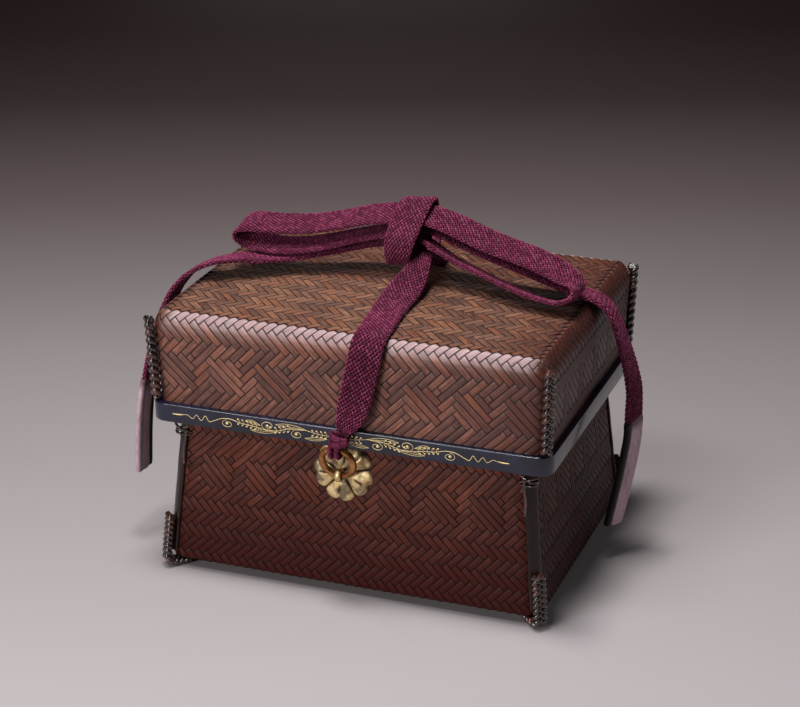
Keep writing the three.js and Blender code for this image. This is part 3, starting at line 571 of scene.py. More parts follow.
def skin(rings, loop=False):
    """Points, faces and maps of a skin over rings of equal counts, closed at its ends or round in a loop."""
    count, total = len(rings[0]), len(rings)
    points = [p for ring in rings for p in ring]
    faces, maps = [], []
    lengths, heights = [0.0], [0.0]
    for i in range(count):
        lengths.append(lengths[-1] + (Vector(rings[0][(i + 1) % count]) - Vector(rings[0][i])).length)
    for r in range(total):
        heights.append(heights[-1] + (Vector(rings[(r + 1) % total][0]) - Vector(rings[r][0])).length)
    for r in range(total if loop else total - 1):
        low, high = r * count, (r + 1) % total * count
        for i in range(count):
            j = (i + 1) % count
            faces.append((low + i, low + j, high + j, high + i))
            maps.append(((lengths[i], heights[r]), (lengths[i + 1], heights[r]),
                (lengths[i + 1], heights[r + 1]), (lengths[i], heights[r + 1])))
    if not loop:
        last = (total - 1) * count
        for face in (tuple(range(count - 1, -1, -1)), tuple(range(last, last + count))):
            faces.append(face)
            maps.append(tuple((points[v][0], points[v][1]) for v in face))
    return points, faces, maps


def rounded_ring(half_x, half_y, radius, z, steps=10):
    ring = []
    for turn, (side_x, side_y) in enumerate(((1, 1), (-1, 1), (-1, -1), (1, -1))):
        for step in range(steps + 1):
            angle = (turn + step / steps) * math.pi / 2
            ring.append((side_x * (half_x - radius) + radius * math.cos(angle),
                side_y * (half_y - radius) + radius * math.sin(angle), z))
    return ring


def wall_size(kind, z, outwards):
    """Half width, half depth and corner radius of the lid's or the basket's wall at a height."""
    half_x, half_y, taper, radius, level = wall_forms[kind]
    move = taper * (z - level) + outwards
    return half_x + move, half_y + move, max(radius + outwards, 0.0006)


def wall_ring(kind, z, outwards, steps=10):
    """Ring of the lid's or the basket's wall at a height, moved out by a distance."""
    return rounded_ring(*wall_size(kind, z, outwards), z, steps)


def corner_spot(corner, kind, inset, z):
    """The sharp corner of a wall at a height, moved in by a distance."""
    half_x, half_y, _ = wall_size(kind, z, -inset)
    return corner[0] * half_x, corner[1] * half_y, z


def settle(piece, body, slot_name, *nodes, blend_to=None):
    """Hides the solids that a piece stands for and gives it its body; given blend_to, it only bakes the piece's
    place into its mesh. The slot name is not used.
    """
    if nodes:
        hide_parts(*nodes)
    if blend_to:
        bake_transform(piece)
    else:
        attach(piece, body)
    return piece


def drop(*objects):
    for item in objects:
        mesh = item.data
        bpy.data.objects.remove(item)
        if not mesh.users:
            bpy.data.meshes.remove(mesh)


def join_pieces(name, pieces):
    """Joins plain mesh pieces that ride together into the first of them."""
    with bpy.context.temp_override(active_object=pieces[0], selected_editable_objects=pieces,
            selected_objects=pieces, object=pieces[0]):
        bpy.ops.object.join()
    pieces[0].name = pieces[0].data.name = name
    return pieces[0]


def chain(count, closed=False):
    return [(i, (i + 1) % count) for i in range(count if closed else count - 1)]


# Geometry node trees

socket_kinds = {
    float: "NodeSocketFloat", int: "NodeSocketInt", bpy.types.Object: "NodeSocketObject",
    bpy.types.Material: "NodeSocketMaterial"}


def new_tree(name, inputs):
    """A tree with a geometry input and output, and its named inputs, with defaults, as wires."""
    tree = bpy.data.node_groups.new(name, "GeometryNodeTree")
    tree.interface.new_socket(name="Geometry", in_out="INPUT", socket_type="NodeSocketGeometry")
    for label, start in inputs.items():
        kind = start if isinstance(start, type) else type(start)
        made = tree.interface.new_socket(name=label, in_out="INPUT", socket_type=socket_kinds[kind])
        if not isinstance(start, type):
            made.default_value = start
    tree.interface.new_socket(name="Geometry", in_out="OUTPUT", socket_type="NodeSocketGeometry")
    given = node(tree, "NodeGroupInput").outputs
    return tree, {label: Wire(tree, given[label]) for label in ("Geometry", *inputs)}


def end_tree(geometry, finish):
    real = out(geometry.tree, "GeometryNodeRealizeInstances", {0: geometry})
    dressed = out(geometry.tree, "GeometryNodeSetMaterial", {"Geometry": real, "Material": finish})
    node(geometry.tree, "NodeGroupOutput", {0: dressed})
    return geometry.tree


def grow(name, start_mesh, tree, values, smooth):
    """Runs a tree on a mesh and keeps the result as a plain mesh."""
    piece = new_object(name, start_mesh)
    modifier = piece.modifiers.new("Shape", "NODES")
    modifier.node_group = tree
    for item in tree.interface.items_tree:
        if item.in_out == "INPUT" and item.name in values:
            modifier[item.identifier] = values[item.name]
    depsgraph = bpy.context.evaluated_depsgraph_get()
    mesh = bpy.data.meshes.new_from_object(
        piece.evaluated_get(depsgraph), preserve_all_data_layers=True, depsgraph=depsgraph)
    piece.modifiers.clear()
    piece.data = mesh
    mesh.name = name
    if not len(mesh.polygons):
        raise RuntimeError(name + " came out empty")
    outward(mesh)
    round_off(mesh, smooth)
    return piece


def named(tree, name, kind="FLOAT"):
    return out(tree, "GeometryNodeInputNamedAttribute", {"Name": name}, data_type=kind)


def keep(geometry, name, value, kind="FLOAT"):
    return out(geometry.tree, "GeometryNodeStoreNamedAttribute", {
        "Geometry": geometry, "Name": name, "Value": value}, data_type=kind, domain="POINT")


def position(tree):
    return out(tree, "GeometryNodeInputPosition")


def shape_of(item):
    return out(item.tree, "GeometryNodeObjectInfo", {"Object": item}, "Geometry")


def curve_of(mesh):
    return out(mesh.tree, "GeometryNodeMeshToCurve", {0: mesh})


def curve_length(curve):
    return out(curve.tree, "GeometryNodeCurveLength", {0: curve})


def moved(geometry, **where):
    """Geometry at a new Position, or moved by an Offset."""
    return out(geometry.tree, "GeometryNodeSetPosition", {"Geometry": geometry, **where})


def stamped(points, template):
    """Real copies of a template, one for each point."""
    placed = out(points.tree, "GeometryNodeInstanceOnPoints", {"Points": points, "Instance": template})
    return out(points.tree, "GeometryNodeRealizeInstances", {0: placed})


def joined(*geometries):
    made = node(geometries[0].tree, "GeometryNodeJoinGeometry")
    for geometry in geometries:
        plug(made.inputs[0], geometry)
    return Wire(geometries[0].tree, made.outputs[0])


def rounded_box(width, height, radius, count):
    """A rectangle with round corners as a curve, and its length."""
    box = out(width.tree, "GeometryNodeCurvePrimitiveQuadrilateral", {"Width": width, "Height": height})
    rim = out(width.tree, "GeometryNodeFilletCurve", {
        "Curve": box, "Radius": radius, "Count": count}, mode="POLY")
    return rim, curve_length(rim)


def sample(curve, length, **value):
    """Position, heading and the named value at a length along a curve."""
    made = node(curve.tree, "GeometryNodeSampleCurve", {"Curves": curve, "Length": length, **value},
        mode="LENGTH", data_type="FLOAT_VECTOR", use_all_curves=True)
    return [Wire(curve.tree, made.outputs[key]) for key in ("Position", "Tangent", "Value")]


def weave_tree(flat):
    """Strips on a lattice: each is one stretch on top of the weave, dips at its ends and follows the wall."""
    inputs = {"Strip": bpy.types.Object, "Unit Across": 0.00248, "Unit Down": 0.00248, "Strip Fill": 0.96,
        "Lift": 0.0002, "Thickness": 0.00036, "Finish": bpy.types.Material}
    inputs.update({"Level": 0.1, "Side": 1.0} if flat else {
        "Profile": bpy.types.Object, "Half X": 0.0986, "Half Y": 0.0718, "Corner Radius": 0.007,
        "Taper": 0.038, "Taper Level": 0.1346, "Start": 0.0})
    tree, given = new_tree("flat_weave" if flat else "wall_weave", inputs)
    points = keep(given["Geometry"], "centre", position(tree), "FLOAT_VECTOR")
    strips = stamped(points, shape_of(given["Strip"]))
    station, section, centre = (
        parts(named(tree, name, "FLOAT_VECTOR")) for name in ("station", "section", "centre"))
    run, lean, tone = (named(tree, name) for name in ("run", "lean", "tone"))
    along = station[0] * calc("MAXIMUM", run * 0.5 - station[1], 0.0)
    across = section[0] * given["Strip Fill"]
    height = section[1] * given["Thickness"] + station[2] * given["Lift"]
    place_u = (lean * across + along) * given["Unit Across"] + centre[0]
    place_v = (across - lean * along) * given["Unit Down"] + centre[1]
    if flat:
        place = vector(place_u, place_v * given["Side"] * -1.0, height * given["Side"] + given["Level"])
    else:
        radius = given["Corner Radius"]
        rim, around = rounded_box(given["Half X"] * 2.0, given["Half Y"] * 2.0, radius, 12)
        at_rim, heading, _ = sample(rim, calc("FLOORED_MODULO", place_u + given["Start"], around))
        heading = parts(heading)
        outwards = aim("NORMALIZE", vector(heading[1], heading[0] * -1.0, 0.0))
        at_wall, slope, _ = sample(curve_of(shape_of(given["Profile"])), place_v)
        wall, slope = parts(at_wall), parts(slope)
        move = (wall[2] - given["Taper Level"]) * given["Taper"]
        spread = [move / (given[half] - radius) + 1.0 for half in ("Half X", "Half Y")]
        core = aim("MULTIPLY", aim("SUBTRACT", at_rim, aim("SCALE", outwards, radius)), vector(*spread, 1.0))
        push = radius + wall[0] - height * slope[2]
        place = aim("ADD", aim("ADD", core, aim("SCALE", outwards, push)),
            vector(0.0, 0.0, height * slope[0] + wall[2]))
    grain = vector(along * 0.0035, across * 0.0035, tone * 0.7)
    strips = keep(strips, "grain", grain, "FLOAT_VECTOR")
    strips = keep(strips, "tip", station[1] + 1.0 - calc("ABSOLUTE", station[0]))
    return end_tree(moved(strips, Position=place), given["Finish"])


def braid_tree():
    """Crossing stitches round a flat section, which follows a guide with its own width direction."""
    tree, given = new_tree("braid", {"Stitch": bpy.types.Object, "Core": bpy.types.Object, "Width": 0.0165,
        "Thickness": 0.0024, "Columns": 17, "Pitch": 0.0026, "Stitch Length": 0.0022, "Stitch Width": 0.00108,
        "Stitch Height": 0.0011, "Sink": 0.00024, "Lean": 0.68, "Seed": 3, "Finish": bpy.types.Material})
    guide, columns = curve_of(given["Geometry"]), given["Columns"]
    total = curve_length(guide)
    rows = calc("ROUND", total / given["Pitch"])
    section, around = rounded_box(given["Width"], given["Thickness"], given["Thickness"] * 0.49, 5)
    points = out(tree, "GeometryNodePoints", {"Count": rows * columns * 2.0})
    index = out(tree, "GeometryNodeInputIndex")
    other = calc("FLOORED_MODULO", index, 2.0)
    pair = calc("FLOOR", index * 0.5)
    half = other * 0.5 + 0.25
    start = (calc("FLOOR", pair / columns) + half) * total / rows
    ring = (calc("FLOORED_MODULO", pair, columns) + half) * around / columns
    shade = out(tree, "FunctionNodeRandomValue", {"ID": index, "Seed": given["Seed"]}, "Value",
        data_type="FLOAT")
    points = keep(points, "seat", vector(start, ring, other * 2.0 - 1.0), "FLOAT_VECTOR")
    points = keep(points, "tone", shade * 0.55 + 0.3)
    template = keep(shape_of(given["Stitch"]), "form", position(tree), "FLOAT_VECTOR")
    stitches = stamped(points, template)
    form, seat = (parts(named(tree, name, "FLOAT_VECTOR")) for name in ("form", "seat"))
    length, width = form[0] * given["Stitch Length"], form[1] * given["Stitch Width"]
    height = form[2] * given["Stitch Height"] - given["Sink"]
    angle = seat[2] * given["Lean"]
    cosine, sine = calc("COSINE", angle), calc("SINE", angle)
    at_section, turned, _ = sample(section,
        calc("FLOORED_MODULO", seat[1] + (length * sine + width * cosine), around))
    flat_spot, flat_way = parts(at_section), parts(turned)
    at_guide, heading, aside = sample(guide, seat[0] + (length * cosine - width * sine),
        Value=named(tree, "across", "FLOAT_VECTOR"))
    share = aim("LENGTH", aside)
    across = aim("NORMALIZE", aim("SUBTRACT", aside, aim("SCALE", heading, aim("DOT_PRODUCT", heading, aside))))
    face = aim("CROSS_PRODUCT", heading, across)
    side = height * flat_way[1] + flat_spot[0] * share
    depth = flat_spot[1] - height * flat_way[0]
    place = aim("ADD", at_guide, aim("ADD", aim("SCALE", across, side), aim("SCALE", face, depth)))
    grain = aim("ADD", vector(length, width, height), aim("SCALE", vector(seat[0], seat[1], 0.0), 3.1))
    stitches = keep(stitches, "grain", grain, "FLOAT_VECTOR")
    return end_tree(joined(moved(stitches, Position=place), shape_of(given["Core"])), given["Finish"])


def round_strand(line, radius, sides, along, aside=0.0):
    """A closed tube along a line, which keeps its length so far and its place beside the others."""
    ring = out(line.tree, "GeometryNodeCurvePrimitiveCircle", {"Resolution": sides, "Radius": radius})
    lined = keep(line, "strand_way", vector(along, aside, 0.0), "FLOAT_VECTOR")
    return out(line.tree, "GeometryNodeCurveToMesh", {"Curve": lined, "Profile Curve": ring, "Fill Caps": True})


def end_strands(tube, finish):
    """Gives strands the grain that their finish is drawn from."""
    grain = aim("ADD", named(tube.tree, "strand_way", "FLOAT_VECTOR"),
        aim("MULTIPLY", position(tube.tree), (0, 1, 1)))
    return end_tree(keep(tube, "grain", grain, "FLOAT_VECTOR"), finish)


def plait_tree():
    """Three strands that cross over each other along a guide."""
    tree, given = new_tree("corner_plait", {"Period": 0.0114, "Half Width": 0.0021, "Half Depth": 0.0012,
        "Strand Radius": 0.00135, "Step": 0.0006, "Finish": bpy.types.Material})
    fine = out(tree, "GeometryNodeResampleCurve", {
        "Curve": curve_of(given["Geometry"]), "Length": given["Step"]}, mode="LENGTH")
    along = out(tree, "GeometryNodeSplineParameter", pick="Length")
    across = aim("NORMALIZE", named(tree, "across", "FLOAT_VECTOR"))
    depth = aim("CROSS_PRODUCT", out(tree, "GeometryNodeInputTangent"), across)
    tubes = []
    for strand in range(3):
        turn = along / given["Period"] * math.tau + strand * math.tau / 3
        sway = aim("SCALE", across, calc("SINE", turn) * given["Half Width"])
        dip = aim("SCALE", depth, calc("SINE", turn * 2.0) * given["Half Depth"])
        line = moved(fine, Offset=aim("ADD", sway, dip))
        tubes.append(round_strand(line, given["Strand Radius"], 9, along, strand * 0.02))
    return end_strands(joined(*tubes), given["Finish"])


def tube_tree():
    """Round strands along guides, with closed ends."""
    tree, given = new_tree("strands", {"Radius": 0.001, "Sides": 10, "Finish": bpy.types.Material})
    along = out(tree, "GeometryNodeSplineParameter", pick="Length")
    tube = round_strand(curve_of(given["Geometry"]), given["Radius"], given["Sides"], along)
    return end_strands(tube, given["Finish"])


def bead_tree():
    """Small flat beads of gold on their seats."""
    tree, given = new_tree("gold_beads", {"Flatness": 0.35, "Finish": bpy.types.Material})
    ball = out(tree, "GeometryNodeMeshUVSphere", {"Segments": 9, "Rings": 5, "Radius": 1.0})
    size = named(tree, "size")
    placed = out(tree, "GeometryNodeInstanceOnPoints", {"Points": given["Geometry"], "Instance": ball,
        "Scale": vector(size, size * given["Flatness"], size)})
    return end_tree(placed, given["Finish"])


# The weave


def strip_template(plain=False):
    """One stretch of strip: stations from end to end, each with a flat top and two bevelled edges."""
    stations = [(-1, -0.08, -0.6), (-1, 0.08, 0.5), (-1, 0.32, 0.95), (-0.5, 0, 1), (0, 0, 1), (0.5, 0, 1),
        (1, 0.32, 0.95), (1, 0.08, 0.5), (1, -0.08, -0.6)]
    sections = [(-0.5, -1), (-0.485, -0.18), (-0.44, 0), (0, 0.06), (0.44, 0), (0.485, -0.18), (0.5, -1)]
    if plain:
        stations = stations[:3] + [stations[4]] + stations[6:]
        sections = sections[:3] + sections[4:]
    spots = [(i * 0.1, side * 0.1, rise * 0.01) for i in range(len(stations)) for side, rise in sections]
    count = len(sections)
    faces = [(r * count + i, r * count + (i + 1) % count, (r + 1) * count + (i + 1) % count,
        (r + 1) * count + i) for r in range(len(stations) - 1) for i in range(count)]
    faces += [tuple(range(count - 1, -1, -1)), tuple((len(stations) - 1) * count + i for i in range(count))]
    return new_object("strip_stretch", new_mesh("strip_stretch", spots, (), faces, {
        "station": [s for s in stations for _ in sections],
        "section": [(side, rise, 0) for _ in stations for side, rise in sections]}))


def floats(rule, columns, rows, ring, seed):
    """Stretches of the lattice where one strip stays on top: middle, length, lean and tone."""
    shades = random.Random(seed)
    tones = {}
    found = []

    def inside(h, k):
        return rows[0] <= k <= rows[1] and (ring or columns[0] <= h <= columns[1])

    def lean_at(h, k):
        return rule(h, k) if inside(h, k) else 0

    for k in range(rows[0], rows[1] + 1):
        for h in range(columns[0], columns[1] + 1):
            if (h - k) % 2:
                continue
            lean = lean_at(h, k)
            if lean_at(h - 1, k + lean) == lean:
                continue
            count = 1
            while lean_at(h + count, k - lean * count) == lean and count < 12:
                count += 1
            strip = (lean, (h + lean * k) % (columns[1] + 1) if ring else h + lean * k)
            if strip not in tones:
                tones[strip] = shades.random()
            tone = min(1, max(0, tones[strip] + shades.uniform(-0.13, 0.13)))
            middle = (count - 1) / 2
            found.append((h + middle, k - lean * middle, count, lean, tone))
    return found


def lid_rule(h, k):
    """The lid's pattern: leaning rows of three, and blocks with a small square at every tenth strip."""
    if k == 0:
        return 1 if h % 10 == 2 else -1
    if 1 <= k <= 6:
        return 1 if h % 10 in (1, 2, 3) else -1
    if -7 <= k <= -4:
        return -1
    return 1


def basket_rule(h, k):
    if -3 <= k <= 9:
        return lid_rule(h, k)
    return -1 if (k - 1) // 3 % 2 else 1


def lattice_mesh(name, stretches, unit_across, unit_down, shift_u, shift_v):
    spots = [(h * unit_across + shift_u, k * unit_down + shift_v, 0) for h, k, *_ in stretches]
    numbers = {key: [s[place] for s in stretches] for place, key in ((2, "run"), (3, "lean"), (4, "tone"))}
    return new_mesh(name, spots, numbers=numbers)


def profile_object(name, spots):
    return new_object(name, new_mesh(name, [(x, 0, z) for x, z in spots], chain(len(spots))))


def weave_values(template, unit_across, unit_down, finish):
    s = sizes()
    return {"Strip": template, "Unit Across": unit_across, "Unit Down": unit_down, "Strip Fill": s.slat_fill,
        "Lift": s.slat_lift, "Thickness": s.slat_thickness, "Finish": finish_material(finish)}


def rim_start(half_x, half_y, radius):
    """Length along the rim's curve from its first point to the middle of the front."""
    return 3 * radius * math.pi / 2 + 3 * (half_x - radius) + 2 * (half_y - radius)


# The cord


def metres(route):
    """A route's rows in metres, with the share of the width in all of them."""
    return [(*(part / 1000 for part in row[:3]), *row[3:6], row[6] if len(row) > 6 else 1) for row in route]


def smooth_path(route, steps, closed=False):
    """Catmull-Rom rows through a route, as the solids have them."""
    rows = []
    count = len(route)

    def at(i):
        return np.array(route[i % count if closed else min(max(i, 0), count - 1)], float)

    for i in range(count if closed else count - 1):
        p0, p1, p2, p3 = at(i - 1), at(i), at(i + 1), at(i + 2)
        for s in range(steps):
            t = s / steps
            rows.append(0.5 * (2 * p1 + (p2 - p0) * t + (2 * p0 - 5 * p1 + 4 * p2 - p3) * t * t
                + (3 * p1 - p0 - 3 * p2 + p3) * t ** 3))
    if not closed:
        rows.append(at(count - 1))
    return np.array(rows)


def path_frames(rows, closed=False):
    """Centres, headings, directions across and outward, and width shares of a path's rows."""
    centres = rows[:, :3]
    if closed:
        heading = np.roll(centres, -1, 0) - np.roll(centres, 1, 0)
    else:
        heading = np.gradient(centres, axis=0)
    heading /= np.linalg.norm(heading, axis=1)[:, None]
    across = rows[:, 3:6] - heading * np.einsum("ij,ij->i", rows[:, 3:6], heading)[:, None]
    across /= np.linalg.norm(across, axis=1)[:, None]
    return centres, heading, across, np.cross(heading, across), rows[:, 6]


def path_length(points):
    return float(np.linalg.norm(np.diff(np.asarray(points), axis=0), axis=1).sum())


def flat_core(name, frames, width, thickness, shrink, closed=False):
    """The body of the cord under its stitches, with painted shade where it shows between them."""
    centres, _, across, outside, share = frames
    flank = [(-0.93, -1), (0.93, -1), (1, -0.5), (1, 0.5), (0.93, 1), (-0.93, 1), (-1, 0.5), (-1, -0.5)]
    rings = []
    for i, centre in enumerate(centres):
        wide = width * share[i] / 2 - shrink
        thick = thickness / 2 - shrink
        rings.append([tuple(centre + a * wide * across[i] + b * thick * outside[i]) for a, b in flank])
    points, faces, _ = skin(rings, loop=closed)
    # Painted shade: the core takes the darkest tone, so the gaps between the stitches look deep.
    painted_shade_tone = -0.6
    mesh = new_mesh(name, points, (), faces, {
        "tone": np.full(len(points), painted_shade_tone), "grain": np.zeros((len(points), 3))})
    outward(mesh)
    return new_object(name, mesh)


def stitch_template():
    """One stitch: a short grain, pointed at both ends."""
    rings = [[(x, y * w, z * h) for y, z in ((-0.5, 0), (-0.28, 0.42), (0.28, 0.42), (0.5, 0), (0, -0.4))]
        for x, w, h in ((-0.3, 0.86, 0.9), (0.3, 0.86, 0.9))]
    spots = [(-0.5, 0, -0.05)] + rings[0] + rings[1] + [(0.5, 0, -0.05)]
    faces = [(0, 1 + (i + 1) % 5, 1 + i) for i in range(5)]
    faces += [(1 + i, 1 + (i + 1) % 5, 6 + (i + 1) % 5, 6 + i) for i in range(5)]
    faces += [(11, 6 + i, 6 + (i + 1) % 5) for i in range(5)]
    return new_object("stitch", new_mesh("stitch", spots, (), faces))


def braid(name, rows, tree, stitch, width=None, thickness=None, closed=False, columns=17, seed=3, **values):
    """One piece of braided cord along a path's rows."""
    width = width or sizes().cord_width
    thickness = thickness or sizes().cord_thickness
    frames = path_frames(rows, closed)
    guide = new_mesh(name, frames[0], chain(len(rows), closed),
        numbers={"across": frames[2] * frames[4][:, None]})
    under_stitches, stitch_rise = 0.00055, 0.0004
    core = flat_core(name + "_core", frames, width, thickness, under_stitches, closed)
    settings = {"Stitch": stitch, "Core": core, "Width": width - stitch_rise, "Thickness": thickness - stitch_rise,
        "Columns": columns, "Pitch": sizes().stitch_pitch, "Seed": seed, "Finish": finish_material("cord")}
    settings.update(values)
    piece = grow(name, guide, tree, settings, smooth=70)
    drop(core)
    return piece


def cut_rows(rows, height):
    """Splits a strap's rows where it first rises past a height."""
    place = next(i for i, row in enumerate(rows) if row[2] >= height)
    return rows[:place + 1], rows[place:]


class TEABOX_OT_cords(bpy.types.Operator):
    """Make the straps, loops and hanging ends of the tied cord"""
    bl_idname = "teabox.cords"
    bl_label = "Cord Straps and Bow"

    def execute(self, context):
        tree, stitch = braid_tree(), stitch_template()
        tips = {}
        for side, route in (("left", left_tip_route), ("right", right_tip_route)):
            tips[side] = cord_tip("cord_end_" + side, smooth_path(metres(route), 5), side)
            settle(tips[side], "lid", "cord_tip", "cord_tip_" + side)
        ring_top_z = 0.0905
        for tag, route, height in (("front", front_strap_route, 0.106), ("back", back_strap_route, 0.0985)):
            low, high = cut_rows(smooth_path(metres(route), 6), height)
            foot = braid("strap_foot_" + tag, low, tree, stitch, seed=5)
            strap = braid("strap_" + tag, high, tree, stitch, seed=6)
            y = float(low[-1][1])
            settle(strap, "base", "cord", "cord_strap_" + tag,
                blend_to=("lid", (0, y, height), (0, y, lid_top_z)))
            settle(foot, "base", "cord", blend_to=(tag + "_ring", (0, y, height), (0, y, ring_top_z)))
        for name, node_name, route, far_end, lay, tip in (
                ("bow_loop_left", "cord_loop_left", left_loop_route, "object", "loose", None),
                ("bow_loop_right", "cord_loop_right", right_loop_route, "object", "loose", None),
                ("bow_tail_left", "cord_tail_left", left_tail_route, "fitting", "hanging", tips["left"]),
                ("bow_tail_right", "cord_tail_right", right_tail_route, "fitting", "hanging", tips["right"])):
            rows = smooth_path(metres(route), 6)
            piece = braid(name, rows, tree, stitch, seed=len(name))
            settle(piece, "lid", "cord", node_name)
        drop(stitch)
        return {"FINISHED"}


def cord_tip(name, rows, side):
    """A bound end: a flat sleeve of two cloths, with soft ridges along it and a rolled seam at its mouth; the side
    that faces the box is marked for painted shade.
    """
    centres, _, across, outside, share = path_frames(rows)
    rings, dark = [], []
    total = path_length(centres)
    gone = 0.0
    for i, centre in enumerate(centres):
        if i:
            gone += float(np.linalg.norm(centres[i] - centres[i - 1]))
        part = gone / total
        inward = -outside[i][0] if side == "right" else outside[i][0]
        swell = 1 + 0.05 * math.exp(-((part - 0.03) / 0.03) ** 2) - 0.06 * math.exp(-((part - 1) / 0.02) ** 2)
        ring = []
        for s in range(40):
            turn = s * math.tau / 40
            a, b = math.cos(turn), math.sin(turn)
            wide = math.copysign(abs(a) ** 0.55, a)
            thick = math.copysign(abs(b) ** 0.75, b) * (0.86 + 0.16 * math.cos(wide * 2.2 * math.pi))
            # Painted shade: the side that faces the box wall, and on the right end its front edge as well.
            facing = math.copysign(b, b * inward)
            dark.append(float(facing > 0 and a > 0.3) if side == "left" else float(facing > 0 or a < -0.2))
            ring.append(tuple(centre + across[i] * wide * sizes().tip_width / 2 * swell * share[i]
                + outside[i] * thick * sizes().tip_thickness / 2 * swell))
        rings.append(ring)
    points, faces, maps = skin(rings)
    return solid(name, points, faces, "cord_tip", smooth=60, maps=maps, numbers={"painted_shade_side": dark})


class TEABOX_OT_knot(bpy.types.Operator):
    """Make the knot of the bow and its heart"""
    bl_idname = "teabox.knot"
    bl_label = "Bow Knot and Hitches"

    def execute(self, context):
        tree, stitch = braid_tree(), stitch_template()
        middle = np.mean(knot_outline, axis=0)
        top_x, top_z, lean, half_cord = 0.0038, 0.1725, 0.1, 0.0013
        outline = []
        for (y, z), share in zip(knot_outline, (1, 1, 0.98, 0.9, 0.76, 0.66, 0.62, 0.66, 0.82, 0.95)):
            away = Vector((y - middle[0], z - middle[1]))
            away *= 1 - half_cord / away.length
            y, z = middle[0] + away.x, middle[1] + away.y
            outline.append((top_x - lean * (top_z - z), y, z, 1, 0, lean, share))
        rows = smooth_path(outline, 6, True)
        knot = braid("bow_knot", rows, tree, stitch, width=0.0176, columns=18, closed=True, seed=9)
        settle(knot, "lid", "cord", "cord_knot")
        rings = []
        for share in (-1, -0.94, -0.55, 0, 0.55, 0.94, 1):
            small = 0.80 if abs(share) == 1 else 0.86
            rings.append([(row[0] + share * 0.0076 * row[6], middle[0] + (row[1] - middle[0]) * small,
                middle[1] + (row[2] - middle[1]) * small) for row in rows[::3]])
        points, faces, _ = skin(rings)
        # Painted shade: the heart's low tone darkens the knot's sides, which lie in shade.
        numbers = {"tone": np.full(len(points), -0.5), "grain": np.array(points) * (1, 0.3, 0.3)}
        heart = solid("bow_knot_heart", points, faces, "cord", smooth=50, numbers=numbers)
        settle(heart, "lid", "cord")
        drop(stitch)
        return {"FINISHED"}


def strands(name, lines, tree, radius, finish, sides=10):
    """Several strands as one piece; each line is a list of points."""
    spots, edges = [], []
    for line in lines:
        base = len(spots)
        spots += [tuple(p) for p in line]
        edges += [(base + i, base + i + 1) for i in range(len(line) - 1)]
    return grow(name, new_mesh(name, spots, edges), tree, {
        "Radius": radius, "Sides": sides, "Finish": finish_material(finish)}, smooth=60)


def half_turned(points):
    return [(-x, -y, z) for x, y, z in points]


class TEABOX_OT_hitches(bpy.types.Operator):
    """Make the cord's strands round each ring and the small knot above them"""
    bl_idname = "teabox.hitches"
    bl_label = "Ring Hitches"

    def execute(self, context):
        tree, stitch = braid_tree(), stitch_template()
        small = {"Stitch Length": 0.0018, "Stitch Width": 0.0009, "Stitch Height": 0.0008, "Pitch": 0.0021}
        tilt = math.radians(15)
        wire_radius, between = 0.0035, 0.0017
        top = 2 * sizes().ring_radius - 0.00045
        wire = (fitting_x, eye_y - top * math.sin(tilt), fitting_z + top * math.cos(tilt))
        centre = (wire[0] + 0.0028, wire[1] - 0.0029, wire[2] + 0.00645)
        for tag, turn in (("front", 1), ("back", -1)):
            parts = []
            for offset in (-between, between):
                route = [(centre[0] + offset / 2, centre[1], centre[2])]
                for i in range(11):
                    angle = math.pi / 2 * (-0.62 + 2.29 * i / 10)
                    route.append((wire[0] + offset, wire[1] - wire_radius * math.cos(angle),
                        wire[2] - wire_radius * math.sin(angle)))
                rows = smooth_path([(turn * x, turn * y, z, 1, 0, 0, 1) for x, y, z in route], 4)
                parts.append(braid("hitch_strand", rows, tree, stitch, width=0.0028, thickness=0.0026,
                    columns=6, seed=4, **small))
            for lean, level, wide, deep in ((0.16, -0.0014, 0.0042, 0.0026), (-0.3, 0.0014, 0.0040, 0.0025)):
                rows = []
                for i in range(24):
                    angle = i * math.tau / 24
                    x, y = wide * math.cos(angle), deep * math.sin(angle)
                    rows.append((turn * (centre[0] + x), turn * (centre[1] + y),
                        centre[2] + level + lean * x, 0, 0, 1, 1))
                parts.append(braid("hitch_turn", np.array(rows), tree, stitch, width=0.0036,
                    thickness=0.0017, closed=True, columns=7, seed=8, **small))
            settle(join_pieces("ring_hitch_" + tag, parts), tag + "_ring", "cord", "cord_hitch_" + tag)
        drop(stitch)
        return {"FINISHED"}


